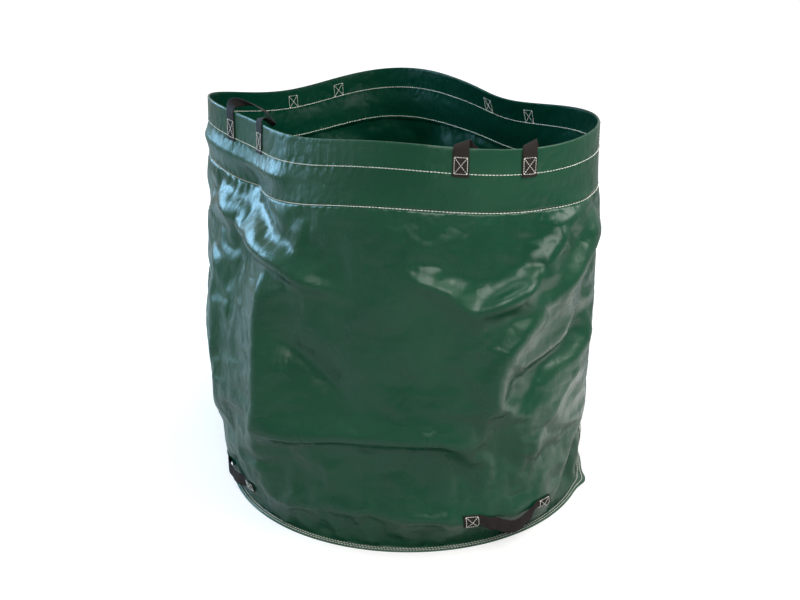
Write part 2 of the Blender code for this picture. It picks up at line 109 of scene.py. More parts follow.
def waves(angle: Array, terms: tuple[tuple[int, float, float], ...]) -> Array:
    """Sum of cosines round the circle, each (number of waves, size, direction of a crest in degrees)."""
    return sum(size * np.cos(count * (angle - math.radians(crest))) for count, size, crest in terms)


def unit(vectors: Array) -> Array:
    """Each vector divided by its own length."""
    return vectors / np.linalg.norm(vectors, axis=-1, keepdims=True)


def facing_out(grid: Array) -> Array:
    """Unit normals of a grid closed round its columns: the chord round it crossed with the slope up it."""
    chord = np.roll(grid, -1, axis=1) - np.roll(grid, 1, axis=1)
    return unit(np.cross(chord, np.gradient(grid, axis=0)))


def cubic(before: Array, first: Array, second: Array, after: Array, share: Array) -> Array:
    """Curve from the first to the second value, with half the step between each one's neighbours as slope.

    Args:
        before: value before the first.
        first: value where the curve starts.
        second: value where it ends.
        after: value after the second.
        share: how far along the curve to read, from 0 to 1.
    Returns:
        Values on the curve.
    """
    return first + 0.5 * share * (second - before + share * (
        2 * before - 5 * first + 4 * second - after + share * (3 * (first - second) + after - before)))


class Outline:
    """Closed outline with the cloth's own length, read by metres along it."""

    samples: int = 2881
    half_chord: float = 0.002

    def __init__(self, lobes: tuple, centre: tuple[float, float], seam_at: float) -> None:
        """Radius is one plus the lobes' cosines, and the whole is scaled to the cloth's perimeter.

        Args:
            lobes: cosines of the radius, as (number round the circle, share, direction in degrees).
            centre: middle of the outline in x and y.
            seam_at: direction of the side seam from the origin, in degrees.
        """
        self.angle = np.linspace(0, 2 * math.pi, self.samples)
        radius = 1 + waves(self.angle, lobes)
        x, y = radius * np.cos(self.angle), radius * np.sin(self.angle)
        run = np.concatenate([[0], np.cumsum(np.hypot(np.diff(x), np.diff(y)))])
        scale = CUT.perimeter / run[-1]
        self.x, self.y, self.run = x * scale + centre[0], y * scale + centre[1], run * scale
        bearing = np.unwrap(np.arctan2(self.y, self.x))
        seam = bearing[0] + (math.radians(seam_at) - bearing[0]) % (2 * math.pi)
        self.start = np.interp(seam, bearing, self.run)

    def at(self, around: Array) -> tuple[Array, Array, Array]:
        """Place and direction from the outline's centre at metres along it.

        Args:
            around: metres along the perimeter from the side seam.
        Returns:
            x, y and the angle round the outline's own centre.
        """
        along = (np.asarray(around) + self.start) % CUT.perimeter
        return (np.interp(along, self.run, self.x), np.interp(along, self.run, self.y),
                np.interp(along, self.run, self.angle))

    def facing(self, around: Array) -> Array:
        """Level outward direction: a short chord of the outline, turned a quarter clockwise.

        Args:
            around: metres along the perimeter from the side seam.
        Returns:
            x and y of the unit direction.
        """
        x0, y0, _ = self.at(around - self.half_chord)
        x1, y1, _ = self.at(around + self.half_chord)
        size = np.hypot(x1 - x0, y1 - y0)
        return np.stack([(y1 - y0) / size, (x0 - x1) / size])


@dataclass(frozen=True)
class Crease:
    """A ridge or valley of the cloth along a line of places on it."""

    line: tuple[tuple[float, float], ...]
    rise: float
    reach_over: float
    reach_under: float
    run_in: float = 0.050
    sharpness: float = 1.4
    end_share: float = 0.25

    def offset(self, around: Array, height: Array) -> Array:
        """Rise times a power of the nearness, 1 on the line and 0 at its reach, and less at the line's ends.

        Args:
            around: places along the perimeter.
            height: places up the cloth, in the same shape.
        Returns:
            How far the crease pushes the cloth out, in metres.
        """
        points = np.array(self.line)
        nearest = np.full(around.shape, np.inf)
        side, travel = np.zeros(around.shape), np.zeros(around.shape)
        run = 0.0
        away = around - np.round((around - points[:, 0].mean()) / CUT.perimeter) * CUT.perimeter
        for (x0, y0), (x1, y1) in zip(points[:-1], points[1:]):
            dx, dy = x1 - x0, y1 - y0
            size = np.hypot(dx, dy)
            share = np.clip(((away - x0) * dx + (height - y0) * dy) / size**2, 0, 1)
            gap_x, gap_y = away - (x0 + share * dx), height - (y0 + share * dy)
            gap = np.hypot(gap_x, gap_y)
            closer = gap < nearest
            nearest = np.where(closer, gap, nearest)
            side = np.where(closer, dx * gap_y - dy * gap_x, side)
            travel = np.where(closer, run + share * size, travel)
            run += size
        reach = np.where(side > 0, self.reach_over, self.reach_under)
        slope = np.clip(1 - nearest / reach, 0, 1) ** self.sharpness
        inwards = np.minimum(travel, run - travel) / self.run_in
        return self.rise * slope * eased(self.end_share + (1 - self.end_share) * inwards)


CREASES = (
    # Front left: the upright ridge that ends the flat front, and the shoulder running into it from the hem
    Crease(((-0.651, 0.545), (-0.656, 0.456), (-0.653, 0.372), (-0.658, 0.263), (-0.680, 0.170)),
           0.015, 0.120, 0.090),
    Crease(((-0.900, 0.610), (-0.745, 0.590), (-0.624, 0.556), (-0.530, 0.510)), 0.010, 0.060, 0.050),
    Crease(((-0.820, 0.685), (-0.745, 0.635), (-0.640, 0.600)), -0.010, 0.035, 0.040),
    Crease(((-0.631, 0.432), (-0.561, 0.369), (-0.503, 0.299)), -0.010, 0.060, 0.060),
    Crease(((-0.860, 0.480), (-0.850, 0.383), (-0.815, 0.210)), 0.009, 0.080, 0.080),
    # Front: the level buckle over the slumped foot, and a slack smile in the middle
    Crease(((-0.680, 0.260), (-0.591, 0.238), (-0.509, 0.239), (-0.426, 0.242), (-0.361, 0.245),
            (-0.290, 0.215)), 0.015, 0.110, 0.038),
    Crease(((-0.400, 0.545), (-0.337, 0.522), (-0.305, 0.490), (-0.261, 0.510), (-0.210, 0.535)),
           0.007, 0.035, 0.045),
    # Front right: long slanting pulls from under the hem at the side seam
    Crease(((-0.090, 0.655), (-0.142, 0.635), (-0.181, 0.589), (-0.226, 0.529), (-0.302, 0.485)),
           0.010, 0.040, 0.045),
    Crease(((-0.060, 0.620), (-0.130, 0.550), (-0.200, 0.490), (-0.245, 0.430), (-0.280, 0.370),
            (-0.295, 0.270)), 0.014, 0.060, 0.080),
    Crease(((-0.105, 0.460), (-0.120, 0.400), (-0.190, 0.355), (-0.240, 0.290)), -0.012, 0.045, 0.045),
    # The foot: cloth slumped out over the base seam, with a tuck where the side seam meets the base
    Crease(((-0.460, 0.085), (-0.340, 0.078), (-0.240, 0.078), (-0.140, 0.078)), 0.026, 0.100, 0.075),
    Crease(((-0.700, 0.100), (-0.600, 0.085), (-0.500, 0.090), (-0.420, 0.080)), 0.013, 0.090, 0.065),
    Crease(((-0.100, 0.020), (-0.070, 0.075), (-0.045, 0.160)), -0.020, 0.050, 0.040),
    Crease(((-0.600, 0.225), (-0.560, 0.185), (-0.500, 0.145)), 0.008, 0.045, 0.045),
    Crease(((-0.350, 0.200), (-0.320, 0.150), (-0.330, 0.100)), -0.007, 0.035, 0.035),
    # Back and far sides
    Crease(((0.130, 0.600), (0.170, 0.450), (0.150, 0.290), (0.200, 0.160)), 0.013, 0.090, 0.090),
    Crease(((0.210, 0.270), (0.330, 0.235), (0.450, 0.255), (0.560, 0.230)), 0.014, 0.100, 0.040),
    Crease(((0.330, 0.620), (0.420, 0.520), (0.540, 0.440)), 0.010, 0.055, 0.055),
    Crease(((0.620, 0.600), (0.600, 0.430), (0.640, 0.270)), 0.013, 0.090, 0.090),
    Crease(((0.700, 0.560), (0.800, 0.470), (0.930, 0.410)), -0.010, 0.055, 0.055),
    Crease(((0.660, 0.210), (0.790, 0.240), (0.930, 0.205), (1.030, 0.230)), 0.012, 0.090, 0.040),
    Crease(((0.080, 0.090), (0.240, 0.078), (0.400, 0.090), (0.560, 0.075)), 0.014, 0.090, 0.070),
    Crease(((0.640, 0.080), (0.800, 0.078), (0.950, 0.075)), 0.012, 0.090, 0.065),
)

# Puff of the hem below its upper seam on the left, where the cloth stands out and faces up
HEM_PUFF = Crease(((-1.040, 0.688), (-0.900, 0.690), (-0.750, 0.690), (-0.620, 0.694)), 0.0080, 0.027, 0.033)

# Sharp folds pressed into the settled cloth, finer than the creases
FOLDS = (
    # Front left: pulls from the hem, the shoulder's band and the upright ridge beside the flat front
    Crease(((-0.790, 0.652), (-0.745, 0.624), (-0.651, 0.567)), 0.0040, 0.018, 0.030),
    Crease(((-0.737, 0.640), (-0.645, 0.613), (-0.579, 0.565)), -0.0035, 0.020, 0.030),
    Crease(((-0.884, 0.603), (-0.745, 0.586), (-0.624, 0.556), (-0.558, 0.520), (-0.500, 0.500)),
           0.0100, 0.036, 0.026),
    Crease(((-0.651, 0.540), (-0.656, 0.456), (-0.653, 0.372), (-0.656, 0.263), (-0.675, 0.174),
            (-0.716, 0.079)), 0.0090, 0.055, 0.040),
    Crease(((-0.631, 0.432), (-0.561, 0.369), (-0.503, 0.299)), -0.0040, 0.040, 0.040),
    Crease(((-0.900, 0.520), (-0.820, 0.470), (-0.760, 0.380), (-0.740, 0.280)), 0.0045, 0.035, 0.025),
    Crease(((-0.780, 0.560), (-0.730, 0.500), (-0.700, 0.420)), -0.0040, 0.025, 0.030),
    # Front: the buckle over the foot and the smile under the middle
    Crease(((-0.647, 0.247), (-0.591, 0.233), (-0.509, 0.239), (-0.426, 0.242), (-0.361, 0.247),
            (-0.312, 0.231)), 0.0055, 0.050, 0.018),
    Crease(((-0.395, 0.540), (-0.337, 0.524), (-0.319, 0.499), (-0.300, 0.486), (-0.261, 0.513),
            (-0.218, 0.532)), 0.0045, 0.012, 0.028, 0.020),
    # Front right: two pulls to the side seam, and the edges of the facet below them
    Crease(((-0.142, 0.646), (-0.181, 0.589), (-0.226, 0.529), (-0.302, 0.491)), 0.0080, 0.040, 0.022),
    Crease(((-0.079, 0.632), (-0.130, 0.567), (-0.177, 0.491)), 0.0080, 0.040, 0.022),
    Crease(((-0.180, 0.500), (-0.212, 0.489), (-0.239, 0.442), (-0.268, 0.402), (-0.284, 0.282)),
           0.0100, 0.060, 0.028),
    Crease(((-0.116, 0.470), (-0.112, 0.407), (-0.196, 0.364), (-0.239, 0.353), (-0.251, 0.296)),
           -0.0085, 0.040, 0.032),
    Crease(((-0.060, 0.420), (-0.110, 0.330), (-0.190, 0.250), (-0.230, 0.170)), 0.0080, 0.035, 0.040),
    Crease(((-0.030, 0.560), (-0.085, 0.500), (-0.125, 0.415)), -0.0060, 0.025, 0.030),
    Crease(((-0.225, 0.255), (-0.205, 0.200), (-0.215, 0.120)), 0.0065, 0.030, 0.040),
    Crease(((-0.207, 0.010), (-0.168, 0.035), (-0.137, 0.095), (-0.121, 0.155)), 0.0060, 0.030, 0.025),
    # Foot: short folds that rise from the base seam
    Crease(((-0.660, 0.002), (-0.630, 0.060), (-0.600, 0.130)), 0.0045, 0.030, 0.018, 0.020),
    Crease(((-0.575, 0.002), (-0.560, 0.050), (-0.552, 0.105)), -0.0040, 0.025, 0.022, 0.020),
    Crease(((-0.480, 0.002), (-0.500, 0.060), (-0.490, 0.110)), 0.0035, 0.025, 0.022, 0.020),
    Crease(((-0.370, 0.002), (-0.350, 0.050), (-0.362, 0.105)), 0.0045, 0.028, 0.018, 0.020),
    Crease(((-0.300, 0.002), (-0.292, 0.050), (-0.270, 0.105)), -0.0045, 0.022, 0.026, 0.020),
    Crease(((-0.236, 0.010), (-0.260, 0.100), (-0.290, 0.165)), 0.0045, 0.022, 0.030, 0.020),
)


@dataclass(frozen=True)
class Wrinkles:
    """Wrinkles of the slack cloth between foot and hem, with least of them on the flat front."""

    size: float = 0.0050
    length: float = 0.260
    count: int = 7
    seed: int = 3
    low: float = 0.110
    high: float = 0.665
    ease: float = 0.070
    calm_front: tuple[float, float] = (-0.500, 0.550)
    calm_share: float = 0.80

    def crossing(self, around: Array, height: Array, random: np.random.Generator) -> Array:
        """Waves of one length in seeded directions, closing round the tube, to a mean square of 1.

        Args:
            around: places along the perimeter.
            height: places up the cloth.
            random: source of the directions and phases.
        Returns:
            Sum of the waves at each place.
        """
        total = np.zeros(around.shape)
        for _ in range(self.count):
            heading, phase = random.uniform(0, 2 * math.pi, 2)
            turns = round(CUT.perimeter / self.length * math.cos(heading))
            climb = 2 * math.pi / self.length * math.sin(heading)
            total += np.cos(2 * math.pi * turns * around / CUT.perimeter + climb * height + phase)
        return total * math.sqrt(2 / self.count)

    def offset(self, around: Array, height: Array) -> Array:
        """Size of one field of waves less that of another, each folded where it changes sign.

        Args:
            around: places along the perimeter.
            height: places up the cloth, in the same shape.
        Returns:
            How far the wrinkles push the cloth out, in metres.
        """
        random = np.random.default_rng(self.seed)
        first, second = (np.abs(self.crossing(around, height, random)) for _ in range(2))
        calm = 1 - self.calm_share * near(around, *self.calm_front)
        ends = eased((height - self.low) / self.ease) * eased((self.high - height) / self.ease)
        return self.size * (first - second) * calm * ends


@dataclass
class Stance:
    """How the empty bag stands: two outlines, a waving rim, bellies, a slump and the main creases."""

    base: Outline = field(default_factory=lambda: Outline(((3, 0.006, -20.0),), (0.0, 0.0), -18.0))
    mouth: Outline = field(default_factory=lambda: Outline(
        ((2, 0.272, -52.0), (3, 0.048, -37.0), (4, 0.030, -24.6), (5, 0.021, 18.4), (6, 0.022, -24.4)),
        (-0.041, 0.011), -28.0))
    mouth_share: float = 0.862
    fullness: float = 1.52
    bellies: tuple = ((-0.274, 0.210, 0.030), (-0.768, 0.190, 0.058), (0.202, 0.168, -0.020),
                      (0.589, 0.358, -0.025))
    rim_height: float = 0.697
    rim_waves: tuple = ((1, 0.0115, 9.0), (2, 0.0041, 55.0), (3, 0.0073, -57.0), (4, 0.0071, -14.0),
                        (6, 0.0034, -24.0))
    hem_lean: float = 0.100
    hem_lean_waves: tuple = ((1, 0.154, -42.0), (2, 0.124, 24.0), (3, 0.069, 14.0), (4, 0.048, -20.0))
    hem_upright: tuple[float, float] = (0.042, 0.147)
    slump_at: tuple[float, float] = (-0.800, 0.200)
    slump: float = 0.25
    foot_gap: float = 0.0003
    foot: float = CUT.sheet + foot_gap + CUT.sheet / 2
    clear_of_foot: float = 0.030
    clear_of_hem: float = 0.060
    foot_corner: float = 0.011
    foot_corner_reach: float = 0.024
    wrinkles: Wrinkles = Wrinkles()

    def foot_width(self, around: Array) -> Array:
        """Seam allowance of the turned-out foot, more at the corner where the side seam meets it."""
        return CUT.seam_allowance + self.foot_corner * near(around, 0.0, self.foot_corner_reach)

    def creases(self, around: Array, height: Array) -> Array:
        """Sum of the creases, eased off at the base seam and under the upper hem seam, and the wrinkles.

        Args:
            around: places along the perimeter.
            height: places up the cloth, in the same shape.
        Returns:
            How far they push the cloth out, in metres.
        """
        total = sum(crease.offset(around, height) for crease in CREASES)
        foot = eased(height / self.clear_of_foot)
        hem = eased((CUT.height - CUT.upper_seam_drop - height) / self.clear_of_hem)
        return total * foot * hem + self.wrinkles.offset(around, height)

    def place(self, around: Array, height: Array, out: Array = 0.0) -> Array:
        """Blend of base and mouth outline by a power of the height, pushed along their mixed facing.

        Args:
            around: places along the perimeter.
            height: places up the cloth.
            out: distance to move the place level and outwards.
        Returns:
            Points in the standing bag, one row of x, y and z each.
        """
        around, height = np.broadcast_arrays(np.asarray(around, float), np.asarray(height, float))
        share = height / CUT.height
        base_x, base_y, _ = self.base.at(around)
        mouth_x, mouth_y, mouth_angle = self.mouth.at(around)
        base_facing, mouth_facing = self.base.facing(around), self.mouth.facing(around)

        rim = self.rim_height + waves(mouth_angle, self.rim_waves)
        lean = self.hem_lean + waves(mouth_angle, self.hem_lean_waves)
        lean = lean * (1 - near(around, *self.hem_upright))
        lean = lean * np.clip(1 - share, 0, 1 - self.mouth_share) * rim
        climb = np.clip(share / self.mouth_share, 0, 1)
        mix = 1 - (1 - climb) ** self.fullness
        belly = sum(out_by * near(around, middle, reach) for middle, reach, out_by in self.bellies)

        x = (1 - mix) * base_x + mix * (mouth_x + lean * mouth_facing[0])
        y = (1 - mix) * base_y + mix * (mouth_y + lean * mouth_facing[1])
        normal = (1 - mix) * base_facing + mix * mouth_facing
        normal = normal / np.hypot(normal[0], normal[1])
        push = out + belly * np.sin(math.pi * climb) + self.creases(around, height)
        slump = self.slump * near(around, *self.slump_at)
        z = self.foot + share ** (1 + slump) * (rim - self.foot)
        return np.stack([x + push * normal[0], y + push * normal[1], z], axis=-1)


def refined(grid: Array, rows: int, columns: int) -> Array:
    """Grid of points read at more rows and columns, by cubic curves through its points both ways.

    Args:
        grid: points in rows up the cloth and columns round it, the last column meeting the first.
        rows: number of rows wanted.
        columns: number of columns wanted.
    Returns:
        Points in the wanted rows and columns.
    """
    def read(values: Array, places: Array, closed: bool) -> Array:
        """Cubic curves through the first axis, read at places along it.

        Args:
            values: grid of points.
            places: row numbers, with shares between two rows.
            closed: whether the last row meets the first.
        Returns:
            One row of points for each place.
        """
        count = len(values)
        start = np.floor(places).astype(int)
        picked = [start + step for step in (-1, 0, 1, 2)]
        picked = [index % count if closed else np.clip(index, 0, count - 1) for index in picked]
        return cubic(*(values[index] for index in picked), (places - start)[:, None, None])

    tall = read(grid, np.linspace(0, len(grid) - 1, rows), False)
    wide = read(tall.swapaxes(0, 1), np.arange(columns) * grid.shape[1] / columns, True)
    return wide.swapaxes(0, 1)


@dataclass
class SlackCloth:
    """The tube between base seam and hem, settled from its stance to lengths with some slack in them."""

    stance: Stance
    # Columns, spans up the cloth and passes of each grid, from the coarsest
    levels: tuple[tuple[int, int, int], ...] = ((100, 30, 300), (200, 59, 240), (400, 118, 200))
    top: float = CUT.hem_foot
    shear: float = 0.7
    bend: float = 0.03
    follow: float = 0.0010
    stir: tuple[float, ...] = (0.0012, 0.0020, 0.0007)
    stir_spans: int = 3
    seed: int = 11
    least_slack: float = 0.004
    # Where the cloth has most to spare: (around, height, reach around, reach up, share of its length)
    slack_patches: tuple = ((-0.80, 0.42, 0.20, 0.30, 0.020), (-0.17, 0.45, 0.16, 0.24, 0.018),
                            (-0.40, 0.10, 0.45, 0.12, 0.016), (0.55, 0.35, 0.50, 0.40, 0.014),
                            (0.00, 0.12, 0.15, 0.15, 0.020))

    def slack(self, around: Array, height: Array) -> Array:
        """Least slack plus, for each patch, its share times a bell in both directions.

        Args:
            around: places along the perimeter.
            height: places up the cloth.
        Returns:
            Spare length at each place, as a share of the cloth's length.
        """
        bells = (share * near(around, middle, reach) * np.exp(-(((height - level) / rise) ** 2))
                 for middle, level, reach, rise, share in self.slack_patches)
        return self.least_slack + sum(bells)

    def links(self, plain: Array, slack: Array) -> list[tuple[Array, Array, Array, float]]:
        """Pairs of points that hold each other, in sets that share no point.

        Args:
            plain: points of the stance that lengths are taken from, in rows and columns.
            slack: share of spare length at each of them.
        Returns:
            For each set the first and second points' numbers, the rest lengths and the stiffness.
        """
        rows, columns = slack.shape
        number = np.arange(rows * columns).reshape(rows, columns)
        place, spare = plain.reshape(-1, 3), slack.ravel()
        sets = []
        for rise, step, stiffness in ((0, 1, 1.0), (1, 0, 1.0), (1, 1, self.shear), (1, -1, self.shear),
                                      (0, 2, self.bend), (2, 0, self.bend)):
            first = number[:rows - rise]
            second = np.roll(number, -step, axis=1)[rise:]
            turn = (first // columns // rise if rise else first % columns // step) % 2
            for which in (0, 1):
                start, end = first[turn == which], second[turn == which]
                rest = np.linalg.norm(place[end] - place[start], axis=1)
                rest = rest * (1 + (spare[start] + spare[end]) / 2)
                sets.append((start, end, rest, stiffness))
        return sets

    def settle(self) -> Array:
        """Each link in turn moves its two ends to its rest length, on ever finer grids.

        Returns:
            Points of the settled cloth, in rows from the base seam to the lower hem seam.
        """
        random = np.random.default_rng(self.seed)
        grid = None
        for (columns, spans, passes), stir in zip(self.levels, self.stir):
            rows = spans + 1
            around, height = np.broadcast_arrays((np.arange(columns) * CUT.perimeter / columns)[None],
                                                 np.linspace(0, self.top, rows)[:, None])
            target = self.stance.place(around, height)
            slack = self.slack(around, height)
            coarse = rows // self.stir_spans + 2, columns // self.stir_spans, 1
            unrest = refined(random.normal(size=coarse), rows, columns)
            unrest = unrest * np.sqrt(slack / slack.max())[..., None]
            grid = target.copy() if grid is None else refined(grid, rows, columns)
            stirred = grid + facing_out(target) * unrest * stir
            grid = self.relax(stirred, target, self.links(target, slack), passes)
        return grid

    def relax(self, grid: Array, target: Array, links: list, passes: int) -> Array:
        """Repeats the links' pulls, with the first and last row held and a light pull to the stance.

        Args:
            grid: points of the cloth as they are.
            target: points of its stance.
            links: sets of linked points.
            passes: how often every link pulls.
        Returns:
            The moved points.
        """
        rows, columns = grid.shape[:2]
        flat = grid.reshape(-1, 3).copy()
        goal = target.reshape(-1, 3)
        held = np.r_[0:columns, (rows - 1) * columns:rows * columns]
        floor = np.full(len(flat), CUT.sheet * 2)
        floor[:columns] = 0.0
        for _ in range(passes):
            for first, second, rest, stiffness in links:
                link = flat[second] - flat[first]
                pull = 0.5 * stiffness * (1 - rest / np.sqrt(np.einsum("ij,ij->i", link, link)))
                if stiffness == self.bend:
                    pull = np.minimum(pull, 0)
                link *= pull[:, None]
                flat[first] += link
                flat[second] -= link
            flat += self.follow * (goal - flat)
            flat[held] = goal[held]
            flat[:, 2] = np.maximum(flat[:, 2], floor)
        return flat.reshape(grid.shape)


def grid_piece(name: str, points: Array, columns: Array, rows: Array, closed: bool = True
               ) -> bpy.types.Object:
    """Mesh of quads between neighbouring points of a grid, with the cloth's own metres as UV map.

    Args:
        name: name of the new piece.
        points: grid of points, rows by columns.
        columns: metres across the piece at each column, and once more after the last one if it is closed.
        rows: metres up the piece at each row.
        closed: whether the last column meets the first.
    Returns:
        The new object, with faces outwards where columns run anticlockwise and rows upwards.
    """
    row_count, column_count = points.shape[:2]
    spans = column_count if closed else column_count - 1
    row, column = (index.ravel() for index in np.indices((row_count - 1, spans)))
    beside = (column + 1) % column_count
    faces = np.stack([row * column_count + column, row * column_count + beside,
                      (row + 1) * column_count + beside, (row + 1) * column_count + column], axis=1)
    across = np.stack([columns[column], columns[column + 1], columns[column + 1], columns[column]], axis=1)
    up = np.stack([rows[row], rows[row], rows[row + 1], rows[row + 1]], axis=1)
    mesh = bpy.data.meshes.new(name)
    mesh.from_pydata(points.reshape(-1, 3), [], faces)
    layer = mesh.uv_layers.new(name="cloth")
    layer.data.foreach_set("uv", np.stack([across, up], axis=-1).astype(np.float32).ravel())
    mesh.shade_smooth()
    piece = bpy.data.objects.new(name, mesh)
    bpy.context.scene.collection.objects.link(piece)
    return piece


def thicken(piece: bpy.types.Object, thickness: float) -> None:
    """Solidify modifier with half the thickness on each side of the surface."""
    modifier = piece.modifiers.new("Thickness", "SOLIDIFY")
    modifier.thickness, modifier.offset = thickness, 0.0


def dress(piece: bpy.types.Object, finish: bpy.types.Material, node: str = "") -> None:
    """Gives a piece its finish in a new slot and its body, and hides the CAD node that it stands for.

    Args:
        piece: the piece.
        finish: its material.
        node: the CAD node that it stands for, if it does.
    """
    piece.data.materials.append(finish)
    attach(piece, "root")
    if node:
        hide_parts(node)


class NodeKit:
    """Short way to add and join the nodes of one material or world."""

    def __init__(self, owner: bpy.types.Material | bpy.types.World, shader: str = "Principled BSDF") -> None:
        """Nodes of a new material or world, with the shader that comes with them.

        Args:
            owner: the material or world.
            shader: name of its shader.
        """
        owner.use_nodes = True
        self.owner, self.tree = owner, owner.node_tree
        self.shader = self.tree.nodes[shader]

    def add(self, kind: str, inputs: dict | None = None, **settings: object) -> bpy.types.Node:
        """New node with its settings and inputs.

        Args:
            kind: Blender's name of the node type.
            inputs: value or output socket for each named or numbered input.
            settings: attributes of the node.
        Returns:
            The node.
        """
        node = self.tree.nodes.new(kind)
        for name, value in settings.items():
            setattr(node, name, value)
        for name, value in (inputs or {}).items():
            self.feed(node, name, value)
        return node

    def feed(self, node: bpy.types.Node, name: str | int, value: object) -> None:
        """Joins an output socket to an input, or sets the input's value.

        Args:
            node: node whose input it is.
            name: name or number of the input.
            value: output socket, or the value itself.
        """
        if isinstance(value, bpy.types.NodeSocket):
            self.tree.links.new(value, node.inputs[name])
        else:
            node.inputs[name].default_value = value

    def sum(self, kind: str, first: object, second: object) -> bpy.types.NodeSocket:
        """Result of one sum of two numbers."""
        return self.add("ShaderNodeMath", {0: first, 1: second}, operation=kind).outputs[0]

    def ramp(self, value: bpy.types.NodeSocket, low: float, high: float, to_low: float = 0.0,
             to_high: float = 1.0) -> bpy.types.NodeSocket:
        """Value stretched from low and high to two new ends, and held there."""
        return self.add("ShaderNodeMapRange", {"Value": value, "From Min": low, "From Max": high,
                                               "To Min": to_low, "To Max": to_high}).outputs["Result"]

    def noise(self, place: bpy.types.NodeSocket, scale: float, detail: float, roughness: float = 0.5
              ) -> bpy.types.NodeSocket:
        """Noise from 0 to 1, scale in features per metre."""
        return self.add("ShaderNodeTexNoise", {"Vector": place, "Scale": scale, "Detail": detail,
                                               "Roughness": roughness}).outputs["Fac"]

    def ridges(self, noise: bpy.types.NodeSocket, depth: float) -> bpy.types.NodeSocket:
        """Noise folded at its middle, its distance from a half, times a depth."""
        folded = self.sum("ABSOLUTE", self.sum("SUBTRACT", noise, 0.5), 0.0)
        return self.sum("MULTIPLY", folded, depth)

    def wave(self, way: bpy.types.NodeSocket, length: float) -> bpy.types.NodeSocket:
        """Sine along a way in metres, with a length in metres."""
        return self.sum("SINE", self.sum("MULTIPLY", way, 2 * math.pi / length), 0.0)

    def bump(self, height: bpy.types.NodeSocket, distance: float = 1.0) -> None:
        """Relief of the shader from a height, times a distance."""
        node = self.add("ShaderNodeBump", {"Height": height, "Distance": distance, "Strength": 1.0})
        self.feed(self.shader, "Normal", node.outputs[0])

    def mixed(self, share: bpy.types.NodeSocket, first: object, second: object) -> bpy.types.NodeSocket:
        """Colour between two, by a share from 0 to 1.

        Args:
            share: share of the second colour.
            first: colour or output socket at 0.
            second: colour or output socket at 1.
        Returns:
            The mixed colour.
        """
        node = self.add("ShaderNodeMix", data_type="RGBA")
        self.feed(node, 0, share)
        self.feed(node, 6, first)
        self.feed(node, 7, second)
        return node.outputs[2]


